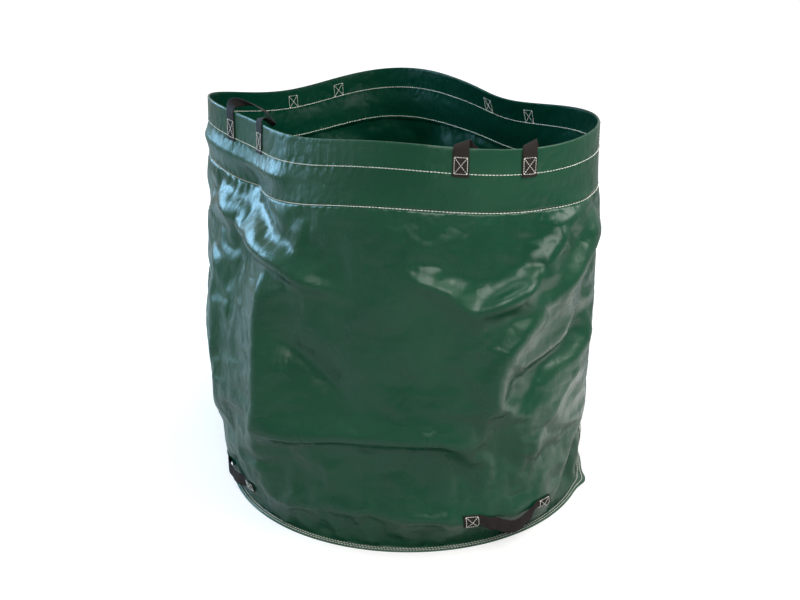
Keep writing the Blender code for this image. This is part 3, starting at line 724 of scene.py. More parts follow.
@dataclass(frozen=True)
class CoatedSheet:
    """Green woven sheet with a glossy coating: a faint weave, soft cloudiness and fine sharp crumples, with
    painted shade on the inside and a painted highlight on the turned-out foot.
    """

    name: str = "coated_green_sheet"
    outside_gloss: float = 0.38
    inside_gloss: float = 0.10
    green: tuple[float, float, float] = (0.0030, 0.056, 0.0265)
    worn_green: tuple[float, float, float] = (0.0060, 0.066, 0.031)
    # Darker green of the inside: painted shade, for the shadow inside the bag
    shaded_inside_green: tuple[float, float, float] = (0.0012, 0.036, 0.0195)
    # Lighter green of the turned-out foot: a painted highlight where it faces up
    foot_highlight_green: tuple[float, float, float] = (0.080, 0.170, 0.120)
    foot_highlight_fade: float = 0.003
    roughness: float = 0.28
    duller_by: float = 0.08
    glossier_by: float = 0.06
    tape: float = 0.0026
    weave_depth: float = 0.00005
    # Each noise as (features per metre, octaves, and their roughness where it isn't a half)
    cloud: tuple[float, ...] = (9.0, 3.0)
    worn_from: tuple[float, float] = (0.35, 0.7)
    dull_from: tuple[float, float] = (0.3, 0.7)
    ridge: tuple[float, ...] = (16.0, 2.0, 0.55)
    ridge_depth: float = 0.0052
    crumple: tuple[float, ...] = (60.0, 1.0)
    crumple_stretch: float = 0.35
    crumple_depth: float = 0.0013
    pucker_length: float = 0.017
    pucker_depth: float = 0.00035
    pucker_reach: float = 0.015
    pucker_shift: float = 25.0
    # Heights of the four seam lines on the cloth's own map, the inner face of the hem above the rim
    seams: tuple[float, ...] = (0.654, 0.718, 0.807, 0.871)

    def make(self) -> bpy.types.Material:
        """Noise folded at its middle gives crumple ridges; two crossed waves give the weave.

        Returns:
            The finished material, which reads the cloth's UV map in metres.
        """
        kit = NodeKit(bpy.data.materials.new(self.name))
        place = kit.add("ShaderNodeUVMap", uv_map="cloth").outputs["UV"]
        around, up = kit.add("ShaderNodeSeparateXYZ", {0: place}).outputs[:2]
        weave = kit.sum("MULTIPLY", kit.wave(around, self.tape), kit.wave(up, self.tape))
        cloud = kit.noise(place, *self.cloud)
        stretch = (1.0, self.crumple_stretch, 1.0)
        upright = kit.add("ShaderNodeVectorMath", {0: place, 1: stretch}, operation="MULTIPLY").outputs[0]
        relief = kit.ridges(kit.noise(place, *self.ridge), self.ridge_depth)
        for part in (kit.ridges(kit.noise(upright, *self.crumple), self.crumple_depth),
                     kit.sum("MULTIPLY", weave, self.weave_depth), self.puckers(kit, around, up, cloud)):
            relief = kit.sum("ADD", relief, part)
        kit.bump(relief)
        outside = self.outside(kit)
        green = kit.mixed(kit.ramp(cloud, *self.worn_from), (*self.green, 1), (*self.worn_green, 1))
        # The turned-out foot takes the lighter green, a painted highlight
        green = kit.mixed(kit.ramp(up, -self.foot_highlight_fade, 0.0, 1.0, 0.0), green, (*self.foot_highlight_green, 1))
        glossy, dull = self.roughness - self.glossier_by, self.roughness + self.duller_by
        gloss = kit.ramp(outside, 0.0, 1.0, self.inside_gloss, self.outside_gloss)
        # The inside takes the darker green, a painted shade
        kit.feed(kit.shader, "Base Color", kit.mixed(outside, (*self.shaded_inside_green, 1), green))
        kit.feed(kit.shader, "Roughness", kit.ramp(cloud, *self.dull_from, glossy, dull))
        kit.feed(kit.shader, "Specular IOR Level", gloss)
        return kit.owner

    def puckers(self, kit: NodeKit, around: bpy.types.NodeSocket, up: bpy.types.NodeSocket,
                cloud: bpy.types.NodeSocket) -> bpy.types.NodeSocket:
        """A wave along each seam, shifted by the cloudiness and fading with the distance from the seam.

        Args:
            kit: nodes of the material.
            around: metres along the perimeter.
            up: metres up the cloth.
            cloud: noise that makes the wave uneven.
        Returns:
            Height of the puckers in metres.
        """
        reach = 0.0
        for seam in self.seams:
            away = kit.sum("ABSOLUTE", kit.sum("SUBTRACT", up, seam), 0.0)
            reach = kit.sum("ADD", kit.ramp(away, 0.0, self.pucker_reach, 1.0, 0.0), reach)
        turn = kit.sum("MULTIPLY", around, 2 * math.pi / self.pucker_length)
        wave = kit.sum("SINE", kit.sum("ADD", turn, kit.sum("MULTIPLY", cloud, self.pucker_shift)), 0.0)
        return kit.sum("MULTIPLY", kit.sum("MULTIPLY", wave, reach), self.pucker_depth)

    def outside(self, kit: NodeKit) -> bpy.types.NodeSocket:
        """1 on the bag's outside and 0 inside, told apart by whether a face looks away from the axis; the
        inside gets the darker green, a painted shade, and less gloss.

        Args:
            kit: nodes of the material.
        Returns:
            The number from 0 to 1.
        """
        place = kit.add("ShaderNodeTexCoord").outputs["Object"]
        level = kit.add("ShaderNodeVectorMath", {0: place, 1: (1.0, 1.0, 0.0)}, operation="MULTIPLY")
        away = kit.add("ShaderNodeVectorMath", {0: level.outputs[0]}, operation="NORMALIZE").outputs[0]
        facing = kit.add("ShaderNodeNewGeometry").outputs["True Normal"]
        agreement = kit.add("ShaderNodeVectorMath", {0: away, 1: facing}, operation="DOT_PRODUCT")
        return kit.ramp(agreement.outputs["Value"], -0.1, 0.1)


@dataclass(frozen=True)
class Webbing:
    """Dark brown-black woven strap with fine ribs across it."""

    name: str = "black_webbing"
    dark: tuple[float, float, float] = (0.008, 0.006, 0.006)
    light: tuple[float, float, float] = (0.026, 0.020, 0.018)
    rib: float = 0.0016
    yarn: float = 0.0024
    weave_depth: float = 0.00016
    fuzz: tuple[float, float] = (900.0, 3.0)
    fuzz_depth: float = 0.0001
    fuzz_share: float = 2.0
    light_from: tuple[float, float] = (-0.6, 2.2)
    roughness: float = 0.72
    gloss: float = 0.22

    def make(self) -> bpy.types.Material:
        """Product of a wave along and a wave across the strap raises the yarns.

        Returns:
            The finished material, which reads the strap's UV map in metres.
        """
        kit = NodeKit(bpy.data.materials.new(self.name))
        place = kit.add("ShaderNodeUVMap", uv_map="cloth").outputs["UV"]
        across, along = kit.add("ShaderNodeSeparateXYZ", {0: place}).outputs[:2]
        weave = kit.sum("MULTIPLY", kit.wave(along, self.rib), kit.wave(across, self.yarn))
        fuzz = kit.noise(place, *self.fuzz)
        kit.bump(kit.sum("ADD", kit.sum("MULTIPLY", weave, self.weave_depth),
                         kit.sum("MULTIPLY", fuzz, self.fuzz_depth)))
        share = kit.ramp(kit.sum("ADD", weave, kit.sum("MULTIPLY", fuzz, self.fuzz_share)), *self.light_from)
        kit.feed(kit.shader, "Base Color", kit.mixed(share, (*self.dark, 1), (*self.light, 1)))
        kit.shader.inputs["Roughness"].default_value = self.roughness
        kit.shader.inputs["Specular IOR Level"].default_value = self.gloss
        return kit.owner


@dataclass(frozen=True)
class Thread:
    """Off-white sewing thread with its twist."""

    name: str = "sewing_thread"
    pale: tuple[float, float, float] = (0.88, 0.88, 0.80)
    shade: tuple[float, float, float] = (0.66, 0.67, 0.60)
    ply: tuple[float, float] = (1400.0, 2.0)
    ply_depth: float = 0.0002
    roughness: float = 0.6

    def make(self) -> bpy.types.Material:
        """Fine noise on the object's own metres stands for the thread's plies.

        Returns:
            The finished material.
        """
        kit = NodeKit(bpy.data.materials.new(self.name))
        place = kit.add("ShaderNodeTexCoord").outputs["Object"]
        plies = kit.noise(place, *self.ply)
        kit.feed(kit.shader, "Base Color", kit.mixed(plies, (*self.pale, 1), (*self.shade, 1)))
        kit.bump(plies, self.ply_depth)
        kit.shader.inputs["Roughness"].default_value = self.roughness
        return kit.owner


@dataclass(frozen=True)
class Scatter:
    """Chance folds on the back and far sides of the bag, within these ranges."""

    seed: int = 5
    count: int = 26
    around: tuple[float, float] = (0.06, 1.10)
    height: tuple[float, float] = (0.08, 0.56)
    length: tuple[float, float] = (0.05, 0.13)
    bend: float = 0.25
    rise: tuple[float, float] = (0.0030, 0.0055)
    reach: tuple[float, float] = (0.020, 0.045)

    def folds(self) -> tuple[Crease, ...]:
        """Each fold has three points, on a slightly bent line in a seeded direction.

        Returns:
            The folds.
        """
        random = np.random.default_rng(self.seed)
        folds = []
        for _ in range(self.count):
            middle = np.array([random.uniform(*self.around), random.uniform(*self.height)])
            length, heading = random.uniform(*self.length), random.uniform(0, math.pi)
            bent = heading + random.normal(0, self.bend)
            start, end = (length * np.array([math.cos(way), math.sin(way)]) for way in (heading, bent))
            line = tuple(map(tuple, (middle - start, middle, middle + end)))
            rise = float(random.uniform(*self.rise) * random.choice((-1, 1)))
            folds.append(Crease(line, rise, random.uniform(*self.reach), random.uniform(*self.reach)))
        return tuple(folds)


@dataclass
class BagCloth:
    """The whole tube of cloth: settled wall, outer and inner face of the hem, and the turned-out foot."""

    stance: Stance = field(default_factory=Stance)
    gap_sewn: float = 0.0018
    gap_loose: float = 0.0034
    hem_rows: int = 20
    fold_rows: int = 7
    foot_rows: int = 4
    fold_ease: float = 0.012
    scatter: Scatter = Scatter()

    def __post_init__(self) -> None:
        """Settles the slack cloth and lays the hem's outer face on top of it."""
        self.wall = SlackCloth(self.stance).settle()
        rows, self.columns = self.wall.shape[:2]
        self.around = np.arange(self.columns + 1) * CUT.perimeter / self.columns
        hem_heights = np.linspace(CUT.hem_foot, CUT.height, self.hem_rows + 1)
        self.heights = np.concatenate([np.linspace(0, CUT.hem_foot, rows), hem_heights[1:]])
        self.press(self.heights[:rows])
        puff = HEM_PUFF.offset(*np.meshgrid(self.around[:-1], hem_heights))
        self.hem = self.stance.place(self.around[None, :-1], hem_heights[:, None], puff)
        self.outer = np.concatenate([self.wall, self.hem[1:]])
        self.normals = facing_out(self.outer)

    def press(self, heights: Array) -> None:
        """Moves the settled wall along its normals by the sum of the folds, eased off at both seams.

        Args:
            heights: height of each row of the wall.
        """
        around, height = np.meshgrid(self.around[:-1], heights)
        rise = sum(fold.offset(around, height) for fold in FOLDS + self.scatter.folds())
        rise *= eased(height / self.fold_ease) * eased((CUT.hem_foot - height) / self.fold_ease)
        self.wall = self.wall + facing_out(self.wall) * rise[..., None]

    def on(self, around: Array, height: Array, lift: Array = 0.0) -> Array:
        """Point between the grid's four nearest ones, moved along their mixed normal.

        Args:
            around: places along the perimeter.
            height: places up the cloth, which go on straight above the rim.
            lift: distance outside the middle of the cloth.
        Returns:
            Points, one row of x, y and z each.
        """
        around, height, lift = np.broadcast_arrays(np.asarray(around, float), height, lift)
        column = (around / CUT.perimeter % 1) * self.columns
        left = np.floor(column).astype(int)
        right = (left + 1) % self.columns
        low = np.clip(np.searchsorted(self.heights, height) - 1, 0, len(self.heights) - 2)
        up = ((height - self.heights[low]) / (self.heights[low + 1] - self.heights[low]))[..., None]
        across = (column - left)[..., None]

        def mix(grid: Array, rise: Array) -> Array:
            """Mean of four neighbours, weighed by how near the place is to each.

            Args:
                grid: values at the cloth's rows and columns.
                rise: how far each place is from its lower row to its upper one.
            Returns:
                The values at the places.
            """
            lower = grid[low, left] * (1 - across) + grid[low, right] * across
            upper = grid[low + 1, left] * (1 - across) + grid[low + 1, right] * across
            return lower * (1 - rise) + upper * rise

        return mix(self.outer, up) + unit(mix(self.normals, np.clip(up, 0, 1))) * lift[..., None]

    def thread_path(self, around: Array, height: Array, lift: Array, side: float = 1.0
                    ) -> tuple[Array, Array]:
        """Points at a lift from the cloth, and the way from each to one a millimetre farther on a side.

        Args:
            around: places along the perimeter.
            height: places up the cloth.
            lift: distance outside the middle of the cloth.
            side: 1 for a thread on the outside and -1 for one on the inside.
        Returns:
            The points, and the unit directions away from the cloth.
        """
        path = self.on(around, height, lift)
        return path, unit(self.on(around, height, lift + side * 0.001) - path)

    def hem_gap(self, drop: Array) -> Array:
        """Least distance of the hem's layers along the seams, and a squared sine's puff between them.

        Args:
            drop: distance down from the rim.
        Returns:
            Distance between the middles of both layers.
        """
        below_seam = CUT.hem_drop - CUT.lower_seam_drop
        stations = [0.0, CUT.upper_seam_drop, CUT.lower_seam_drop, CUT.hem_drop + below_seam]
        between = np.interp(drop, stations, [0.5, 1.0, 2.0, 3.0])
        return self.gap_sewn + (self.gap_loose - self.gap_sewn) * np.sin(math.pi * between) ** 2

    def build(self, finish: bpy.types.Material) -> list[bpy.types.Object]:
        """The wall with its foot, and the hem with both its faces.

        Args:
            finish: material of the sheet.
        Returns:
            The two pieces.
        """
        around = self.around[None, :-1]
        share = np.linspace(1, 0, self.foot_rows)[:-1]
        foot = self.stance.place(around, 0 * share[:, None], share[:, None] * self.stance.foot_width(around))
        rows = np.concatenate([-CUT.seam_allowance * share, self.heights[:len(self.wall)]])
        wall = grid_piece("wall_cloth", np.concatenate([foot, self.wall]), self.around, rows)
        drops = np.linspace(0, CUT.lower_seam_drop, self.hem_rows + 1)[1:]
        inner_drops = np.append(drops, CUT.hem_drop)
        half = float(self.hem_gap(0.0)) / 2
        turn = np.linspace(0, math.pi, self.fold_rows)
        fold = self.on(around, (CUT.height - half + half * np.sin(turn))[:, None],
                       (half * (np.cos(turn) - 1))[:, None])
        inner = self.on(around, (CUT.height - inner_drops)[:, None], -self.hem_gap(inner_drops)[:, None])
        points = np.concatenate([self.hem[:-1], fold, inner])
        run = np.concatenate([-drops[::-1], half * turn, half * 3 + inner_drops]) + CUT.height
        hem = grid_piece("hem_band", points, self.around, run)
        for piece in (wall, hem):
            thicken(piece, CUT.sheet)
            dress(piece, finish, "wall")
        return [wall, hem]


def ring_piece(name: str, middle: Array, half: Array, along: Array) -> bpy.types.Object:
    """Band with rounded edges: its middle surface moved both ways along its normal, by less at the edges.

    Args:
        name: name of the new piece.
        middle: points of the middle surface, in rows along the band and columns across it.
        half: half the thickness at each column, 0 at the first and last.
        along: metres along the band at each row.
    Returns:
        The new piece, closed at both ends.
    """
    normal = unit(np.cross(np.gradient(middle, axis=1), np.gradient(middle, axis=0)))
    over, under = middle + normal * half[:, None], middle - normal * half[:, None]
    ring = np.concatenate([over, under[:, -2:0:-1]], axis=1)
    width = np.linalg.norm(middle[0, -1] - middle[0, 0])
    share = np.linspace(0, width, middle.shape[1])
    across = np.concatenate([share, share[-2::-1]])
    piece = grid_piece(name, ring, across, along)
    count, size = ring.shape[:2]
    lid = np.arange(size)
    mesh = piece.data
    quads = [tuple(face.vertices) for face in mesh.polygons]
    uv = np.empty(len(mesh.loops) * 2, np.float32)
    mesh.uv_layers["cloth"].data.foreach_get("uv", uv)
    mesh.clear_geometry()
    mesh.from_pydata(ring.reshape(-1, 3), [], quads + [tuple(lid[::-1]), tuple(lid + (count - 1) * size)])
    layer = mesh.uv_layers.new(name="cloth")
    layer.data.foreach_set("uv", np.concatenate([uv, np.zeros(4 * size, np.float32)]))
    mesh.shade_smooth()
    return piece


def smooth_rows(rows: Array, steps: int) -> Array:
    """More rows on the cubic curve through the given ones, as many to each span as there are steps.

    Args:
        rows: values in rows along a strap.
        steps: number of new spans for each old one.
    Returns:
        The finer rows, both end rows kept.
    """
    padded = np.concatenate([[2 * rows[0] - rows[1]], rows, [2 * rows[-1] - rows[-2]]])
    share = (np.arange(steps) / steps)[None, :, None]
    fine = cubic(*(padded[i:len(padded) - 3 + i][:, None] for i in range(4)), share)
    return np.concatenate([fine.reshape(-1, rows.shape[1]), rows[-1:]])


@dataclass(frozen=True)
class Stitch:
    """Size of one stitch and how far apart they are."""

    pitch: float = 0.0055
    gap: float = 0.0004
    radius: float = 0.00075
    tip: float = 0.35
    arch: float = 1.3
    dip: float = 0.6
    sides: int = 6
    rings: int = 5


class Seam:
    """Rows of separate stitches, gathered into one piece."""

    def __init__(self, name: str, stitch: Stitch) -> None:
        """Empty seam.

        Args:
            name: name of the piece that it becomes.
            stitch: size of its stitches.
        """
        self.name, self.stitch = name, stitch
        self.points: list[Array] = []

    def row(self, path: Array, normal: Array) -> None:
        """Adds stitches along a path: each a tube on an arch that dips into the cloth at both ends.

        Args:
            path: points that the row follows.
            normal: direction away from the cloth at each of them.
        """
        size = self.stitch
        run = np.concatenate([[0], np.cumsum(np.linalg.norm(np.diff(path, axis=0), axis=1))])
        count = max(1, round(run[-1] / size.pitch))
        span = run[-1] / count
        share = np.linspace(0, 1, size.rings)
        at = (np.arange(count) * span + size.gap / 2)[:, None] + share * (span - size.gap)
        centre = np.stack([np.interp(at, run, path[:, axis]) for axis in range(3)], axis=-1)
        up = unit(np.stack([np.interp(at, run, normal[:, axis]) for axis in range(3)], axis=-1))
        aside = np.cross(unit(np.gradient(centre, axis=1)), up)
        arch = np.sin(math.pi * share)[None, :, None]
        turn = (np.arange(size.sides) * 2 * math.pi / size.sides)[:, None]
        thick = size.radius * (size.tip + (1 - size.tip) * np.sqrt(arch))
        lifted = centre + up * size.radius * (size.arch * arch - size.dip)
        ring = np.cos(turn) * up[:, :, None] + np.sin(turn) * aside[:, :, None]
        self.points.append(lifted[:, :, None] + ring * thick[..., None])

    def build(self, finish: bpy.types.Material) -> bpy.types.Object:
        """One mesh of all the stitches: quads between the rings of each, and a lid at both ends.

        Args:
            finish: material of the thread.
        Returns:
            The seam.
        """
        points = np.concatenate(self.points)
        count, rings, sides = points.shape[:3]
        ring, side = (index.ravel() for index in np.indices((rings - 1, sides)))
        beside = (side + 1) % sides
        quads = np.stack([ring * sides + side, ring * sides + beside, (ring + 1) * sides + beside,
                          (ring + 1) * sides + side], axis=1)
        first = np.arange(count)[:, None, None] * rings * sides
        lids = np.stack([np.arange(sides)[::-1], np.arange(sides) + (rings - 1) * sides])
        faces = (first + quads).reshape(-1, 4).tolist() + (first + lids).reshape(-1, sides).tolist()
        mesh = bpy.data.meshes.new(self.name)
        mesh.from_pydata(points.reshape(-1, 3), [], faces)
        mesh.shade_smooth()
        piece = bpy.data.objects.new(self.name, mesh)
        bpy.context.scene.collection.objects.link(piece)
        dress(piece, finish)
        return piece


class Fall(Enum):
    """How the free part of a mouth loop has fallen: rows of (along, out, up) and the direction across."""

    IN = (
        ((-0.0525, 0.0000, 0.002), (1.0, 0.0, 0.30)),
        ((-0.0500, -0.0050, 0.009), (1.0, 0.0, 0.45)),
        ((-0.0400, -0.0140, -0.004), (0.8, 0.0, 0.60)),
        ((-0.0050, -0.0200, -0.034), (0.5, 0.0, 0.85)),
        ((0.0350, -0.0240, -0.046), (0.0, -0.3, 1.0)),
        ((0.0720, -0.0220, -0.030), (-0.7, -0.2, 0.70)),
        ((0.0640, -0.0150, -0.004), (-1.0, 0.0, -0.20)),
        ((0.0540, -0.0050, 0.009), (-1.0, 0.0, -0.45)),
        ((0.0525, 0.0000, 0.002), (-1.0, 0.0, -0.30)),
    )
    UP = (
        ((-0.0525, 0.0000, 0.002), (1.0, 0.0, 0.10)),
        ((-0.0480, -0.0060, 0.012), (0.9, -0.3, -0.30)),
        ((-0.0280, -0.0170, 0.017), (0.4, -0.8, -0.45)),
        ((0.0060, -0.0240, 0.014), (0.0, -0.9, -0.40)),
        ((0.0380, -0.0250, 0.006), (-0.5, -0.6, -0.55)),
        ((0.0640, -0.0230, -0.001), (-0.9, -0.1, -0.40)),
        ((0.0630, -0.0140, 0.005), (-1.0, 0.0, -0.30)),
        ((0.0560, -0.0050, 0.009), (-1.0, 0.0, -0.20)),
        ((0.0525, 0.0000, 0.003), (-1.0, 0.0, -0.10)),
    )
    OUT = (
        ((-0.0525, 0.0030, -0.008), (1.0, 0.0, 0.10)),
        ((-0.0510, 0.0080, -0.012), (1.0, 0.0, 0.10)),
        ((-0.0400, 0.0110, -0.034), (0.8, 0.0, 0.50)),
        ((0.0000, 0.0140, -0.058), (0.0, 0.3, 1.00)),
        ((0.0400, 0.0110, -0.034), (-0.8, 0.0, 0.50)),
        ((0.0510, 0.0080, -0.012), (-1.0, 0.0, 0.10)),
        ((0.0525, 0.0030, -0.008), (-1.0, 0.0, 0.10)),
    )


@dataclass
class Strap:
    """A webbing strap sewn to the cloth at both ends, with a boxed cross of stitches on each."""

    name: str
    share: float
    cloth: BagCloth
    gap: float = 0.0004
    span: float = 0.105
    level: float = CUT.height
    steps: int = 5
    # Place of each column across as a share of the half width, closer together at the selvedges
    columns: tuple[float, ...] = (-1.0, -0.96, -0.82, -0.5, 0.0, 0.5, 0.82, 0.96, 1.0)

    @property
    def middle(self) -> float:
        """Metres along the perimeter from the side seam to the strap's middle."""
        return self.share * CUT.perimeter

    def surface(self, centres: Array, across: Array) -> Array:
        """Middle surface: each row runs both ways from its centre, and every point is laid on the cloth.

        Args:
            centres: centre of each row, as (along, out, up) from the strap's middle.
            across: direction of each row in the same terms.
        Returns:
            Points, in rows along the strap and columns across it.
        """
        side = np.array(self.columns)[None, :, None] * CUT.webbing_width / 2
        spots = centres[:, None] + side * unit(across)[:, None]
        lift = CUT.sheet / 2 + self.gap + CUT.webbing / 2 + spots[..., 1]
        return self.cloth.on(self.middle + spots[..., 0], self.level + spots[..., 2], lift)

    def band(self, centres: Array, across: Array, finish: bpy.types.Material) -> bpy.types.Object:
        """The strap itself, half its thickness fading by the fourth root to rounded selvedges.

        Args:
            centres: centre of each row.
            across: direction of each row.
            finish: material of the webbing.
        Returns:
            The strap.
        """
        middle = self.surface(centres, across)
        half = CUT.webbing / 2 * (1 - np.array(self.columns) ** 8) ** 0.25
        spine = middle[:, len(self.columns) // 2]
        along = np.concatenate([[0], np.cumsum(np.linalg.norm(np.diff(spine, axis=0), axis=1))])
        piece = ring_piece(self.name + "_webbing", middle, half, along)
        dress(piece, finish, self.name)
        return piece

    def cross(self, seam: Seam, along: float, up: float, size: tuple[float, float], lift: float,
              inside: bool = False) -> None:
        """Adds a box of stitches with both its diagonals.

        Args:
            seam: seam that takes the stitches.
            along: middle of the box, from the strap's middle.
            up: middle of the box, from the strap's level.
            size: its width and height.
            lift: distance of the thread from the middle of the cloth.
            inside: whether it is on the inner face of the hem.
        """
        corner = np.array([(-1, -1), (1, -1), (1, 1), (-1, 1)]) * np.array(size) / 2
        share = np.linspace(0, 1, 12)[:, None]
        for start, end in ((0, 1), (1, 2), (2, 3), (3, 0), (0, 2), (1, 3)):
            spot = corner[start] * (1 - share) + corner[end] * share + (self.middle + along, self.level + up)
            away = -self.cloth.hem_gap(CUT.height - spot[:, 1]) - lift if inside else lift
            seam.row(*self.cloth.thread_path(spot[:, 0], spot[:, 1], away, -1.0 if inside else 1.0))


@dataclass
class MouthLoop(Strap):
    """A carrying loop: both ends run upright up the hem, and the rest has fallen one way or another."""

    fall: Fall = Fall.OUT

    def build(self, webbing: bpy.types.Material, seam: Seam) -> bpy.types.Object:
        """The loop and its stitched ends.

        Args:
            webbing: material of the strap.
            seam: seam that takes the box stitches.
        Returns:
            The strap.
        """
        half = self.span / 2
        drops = [CUT.upper_seam_drop + more for more in (CUT.strap_tail, 0.0, -CUT.box_height)]
        rows = [((-half, 0.0, -drop), (1, 0, 0)) for drop in drops] + list(self.fall.value)
        rows += [((half, 0.0, -drop), (-1, 0, 0)) for drop in reversed(drops)]
        rows = smooth_rows(np.array([(*centre, *across) for centre, across in rows]), self.steps)
        over = CUT.sheet / 2 + self.gap + CUT.webbing
        up = CUT.box_height / 2 - CUT.upper_seam_drop
        for side in (-half, half):
            self.cross(seam, side, up, (CUT.box_width, CUT.box_height), over)
            self.cross(seam, side, up, (CUT.box_width, CUT.box_height), CUT.sheet / 2, inside=True)
        return self.band(rows[:, :3], rows[:, 3:], webbing)


@dataclass
class BaseGrip(Strap):
    """A grip just above the base: its ends lie level on the wall, and its slack hangs in a blunt V."""

    gap: float = 0.0011
    span: float = 0.126
    level: float = 0.078
    slack: float = 0.018
    sag: float = 0.012
    box: float = 0.019
    ease: float = 0.015
    # Places of the free part's rows as shares of half its length, close together at the V's point
    shares: tuple[float, ...] = (-0.75, -0.4, -0.08, 0.0, 0.08, 0.4, 0.75)

    def surface(self, centres: Array, across: Array) -> Array:
        """On the cloth at both ends, and hanging plumb from its own middle line between them.

        Args:
            centres: centre of each row, as (along, out, up) from the strap's middle.
            across: direction of each row in the same terms.
        Returns:
            Points, in rows along the strap and columns across it.
        """
        sewn = super().surface(centres, across)
        side = np.array(self.columns)[None, :, None] * CUT.webbing_width / 2
        plumb = sewn[:, len(self.columns) // 2][:, None] + side * np.array([0.0, 0.0, 1.0])
        free = self.span / 2 - CUT.box_height / 2
        share = eased((free - np.abs(centres[:, 0])) / self.ease)[:, None, None]
        return sewn * (1 - share) + plumb * share

    def build(self, webbing: bpy.types.Material, seam: Seam) -> bpy.types.Object:
        """The grip and its stitched ends.

        Args:
            webbing: material of the strap.
            seam: seam that takes the box stitches.
        Returns:
            The strap.
        """
        half, box = self.span / 2, CUT.box_height / 2
        free = half - box
        share = np.array(self.shares)
        out, down = self.slack * (1 - share**2), self.sag * (1 - np.abs(share))
        slack = np.stack([share * free, out, -down], axis=1)
        ends = np.array([-1, -0.33, 0.33, 1]) * box
        left, right = (np.stack([end + ends, 0 * ends, 0 * ends], axis=1) for end in (-half, half))
        centres = smooth_rows(np.concatenate([left, slack, right]), self.steps)
        across = np.broadcast_to([0.0, 0.0, 1.0], centres.shape)
        over = CUT.sheet / 2 + self.gap + CUT.webbing
        for side in (-half, half):
            self.cross(seam, side, 0.0, (self.box, self.box), over)
        return self.band(centres, across, webbing)


@dataclass
class SideSeam:
    """The lap that closes the tube, a narrow second layer of cloth with a stitch row near each edge."""

    cloth: BagCloth
    low: float = 0.004
    high: float = CUT.height - 0.004
    edge: float = 0.003
    rows: int = 160
    samples: int = 600
    # Place of each column across as a share of the half width
    columns: tuple[float, ...] = (-1.0, -0.94, -0.5, 0.0, 0.5, 0.94, 1.0)

    def build(self, finish: bpy.types.Material, seam: Seam) -> bpy.types.Object:
        """Strip laid a cloth's thickness outside the wall, from the base seam to the rim.

        Args:
            finish: material of the sheet.
            seam: seam that takes the stitches.
        Returns:
            The strip.
        """
        height = np.linspace(self.low, self.high, self.rows)
        side = np.array(self.columns) * CUT.side_lap / 2
        half = CUT.sheet / 2 * (np.abs(self.columns) < 1)
        middle = self.cloth.on(side[None], height[:, None], CUT.sheet * 1.1)
        strip = ring_piece("side_seam_lap", middle[::-1], half, height)
        dress(strip, finish)
        along = np.linspace(self.low, self.high, self.samples)
        for place in (-CUT.side_lap / 2 + self.edge, CUT.side_lap / 2 - self.edge):
            seam.row(*self.cloth.thread_path(place, along, CUT.sheet * 1.6))
        return strip


@dataclass
class CrossSeams:
    """The seams that run round the bag: two through the hem and two through the turned-out foot."""

    cloth: BagCloth
    samples: int = 1600
    foot_rows: tuple[float, float] = (0.30, 0.70)

    def build(self, thread: bpy.types.Material, stitch: Stitch) -> list[bpy.types.Object]:
        """Both faces of each hem seam, and the top of the foot's two rows.

        Args:
            thread: material of the thread.
            stitch: size of the stitches.
        Returns:
            The seams.
        """
        around = np.linspace(0, CUT.perimeter, self.samples)
        made = []
        for name, drop in (("upper_hem_seam", CUT.upper_seam_drop), ("lower_hem_seam", CUT.lower_seam_drop)):
            for face in ("outside", "inside"):
                seam = Seam(f"{name}_{face}", stitch)
                side = 1.0 if face == "outside" else -1.0
                lift = CUT.sheet / 2 if face == "outside" else -self.cloth.hem_gap(drop) - CUT.sheet / 2
                seam.row(*self.cloth.thread_path(around, CUT.height - drop, lift, side))
                made.append(seam.build(thread))
        foot = Seam("foot_seam", stitch)
        for share in self.foot_rows:
            stance = self.cloth.stance
            path = stance.place(around, 0 * around, share * stance.foot_width(around))
            path[:, 2] += CUT.sheet / 2
            foot.row(path, np.broadcast_to([0.0, 0.0, 1.0], path.shape))
        return made + [foot.build(thread)]


@dataclass
class BasePanel:
    """The round base, lying under the turned-out foot of the wall."""

    stance: Stance
    spans: int = 110
    edge_samples: int = 1440
    # Middle of the panel on the cloth's map, well clear of the wall's seams and foot
    map_from: float = 2.0

    def build(self, finish: bpy.types.Material) -> bpy.types.Object:
        """A square grid drawn out to a disc, x times the root of 1 - y squared / 2 and the like for y.

        Args:
            finish: material of the panel.
        Returns:
            The panel.
        """
        around = np.linspace(0, CUT.perimeter, self.edge_samples, endpoint=False)
        edge = self.stance.place(around, 0.0, self.stance.foot_width(around))
        edge = edge[np.argsort(np.arctan2(edge[:, 1], edge[:, 0]))]
        bearing, radius = np.arctan2(edge[:, 1], edge[:, 0]), np.hypot(edge[:, 0], edge[:, 1])
        side = np.linspace(-1, 1, self.spans + 1)
        across, up = np.meshgrid(side, side)
        x, y = across * np.sqrt(1 - up**2 / 2), up * np.sqrt(1 - across**2 / 2)
        reach = np.interp(np.arctan2(y, x), bearing, radius, period=2 * math.pi)
        points = np.stack([x * reach, y * reach, np.full_like(x, CUT.sheet / 2)], axis=-1)
        cut = CUT.diameter + 2 * CUT.seam_allowance
        along = side * cut / 2
        panel = grid_piece("base_cloth", points, along, self.map_from + along, closed=False)
        thicken(panel, CUT.sheet)
        dress(panel, finish, "base_panel")
        return panel


@dataclass(frozen=True)
class Lamp:
    """Rectangular area lamp aimed at the middle of the bag."""

    name: str
    place: tuple[float, float, float]
    size: tuple[float, float]
    power: float
    colour: tuple[float, float, float]
    aim: tuple[float, float, float] = (0.0, 0.0, 0.38)

    def build(self) -> bpy.types.Object:
        """The lamp, turned along the line from its place to its aim.

        Returns:
            The lamp.
        """
        light = bpy.data.lights.new(self.name, "AREA")
        light.shape, light.size, light.size_y = "RECTANGLE", *self.size
        light.energy, light.color = self.power, self.colour
        lamp = bpy.data.objects.new(self.name, light)
        lamp.location = self.place
        lamp.rotation_euler = (Vector(self.aim) - Vector(self.place)).to_track_quat("-Z", "Y").to_euler()
        bpy.context.scene.collection.objects.link(lamp)
        return lamp


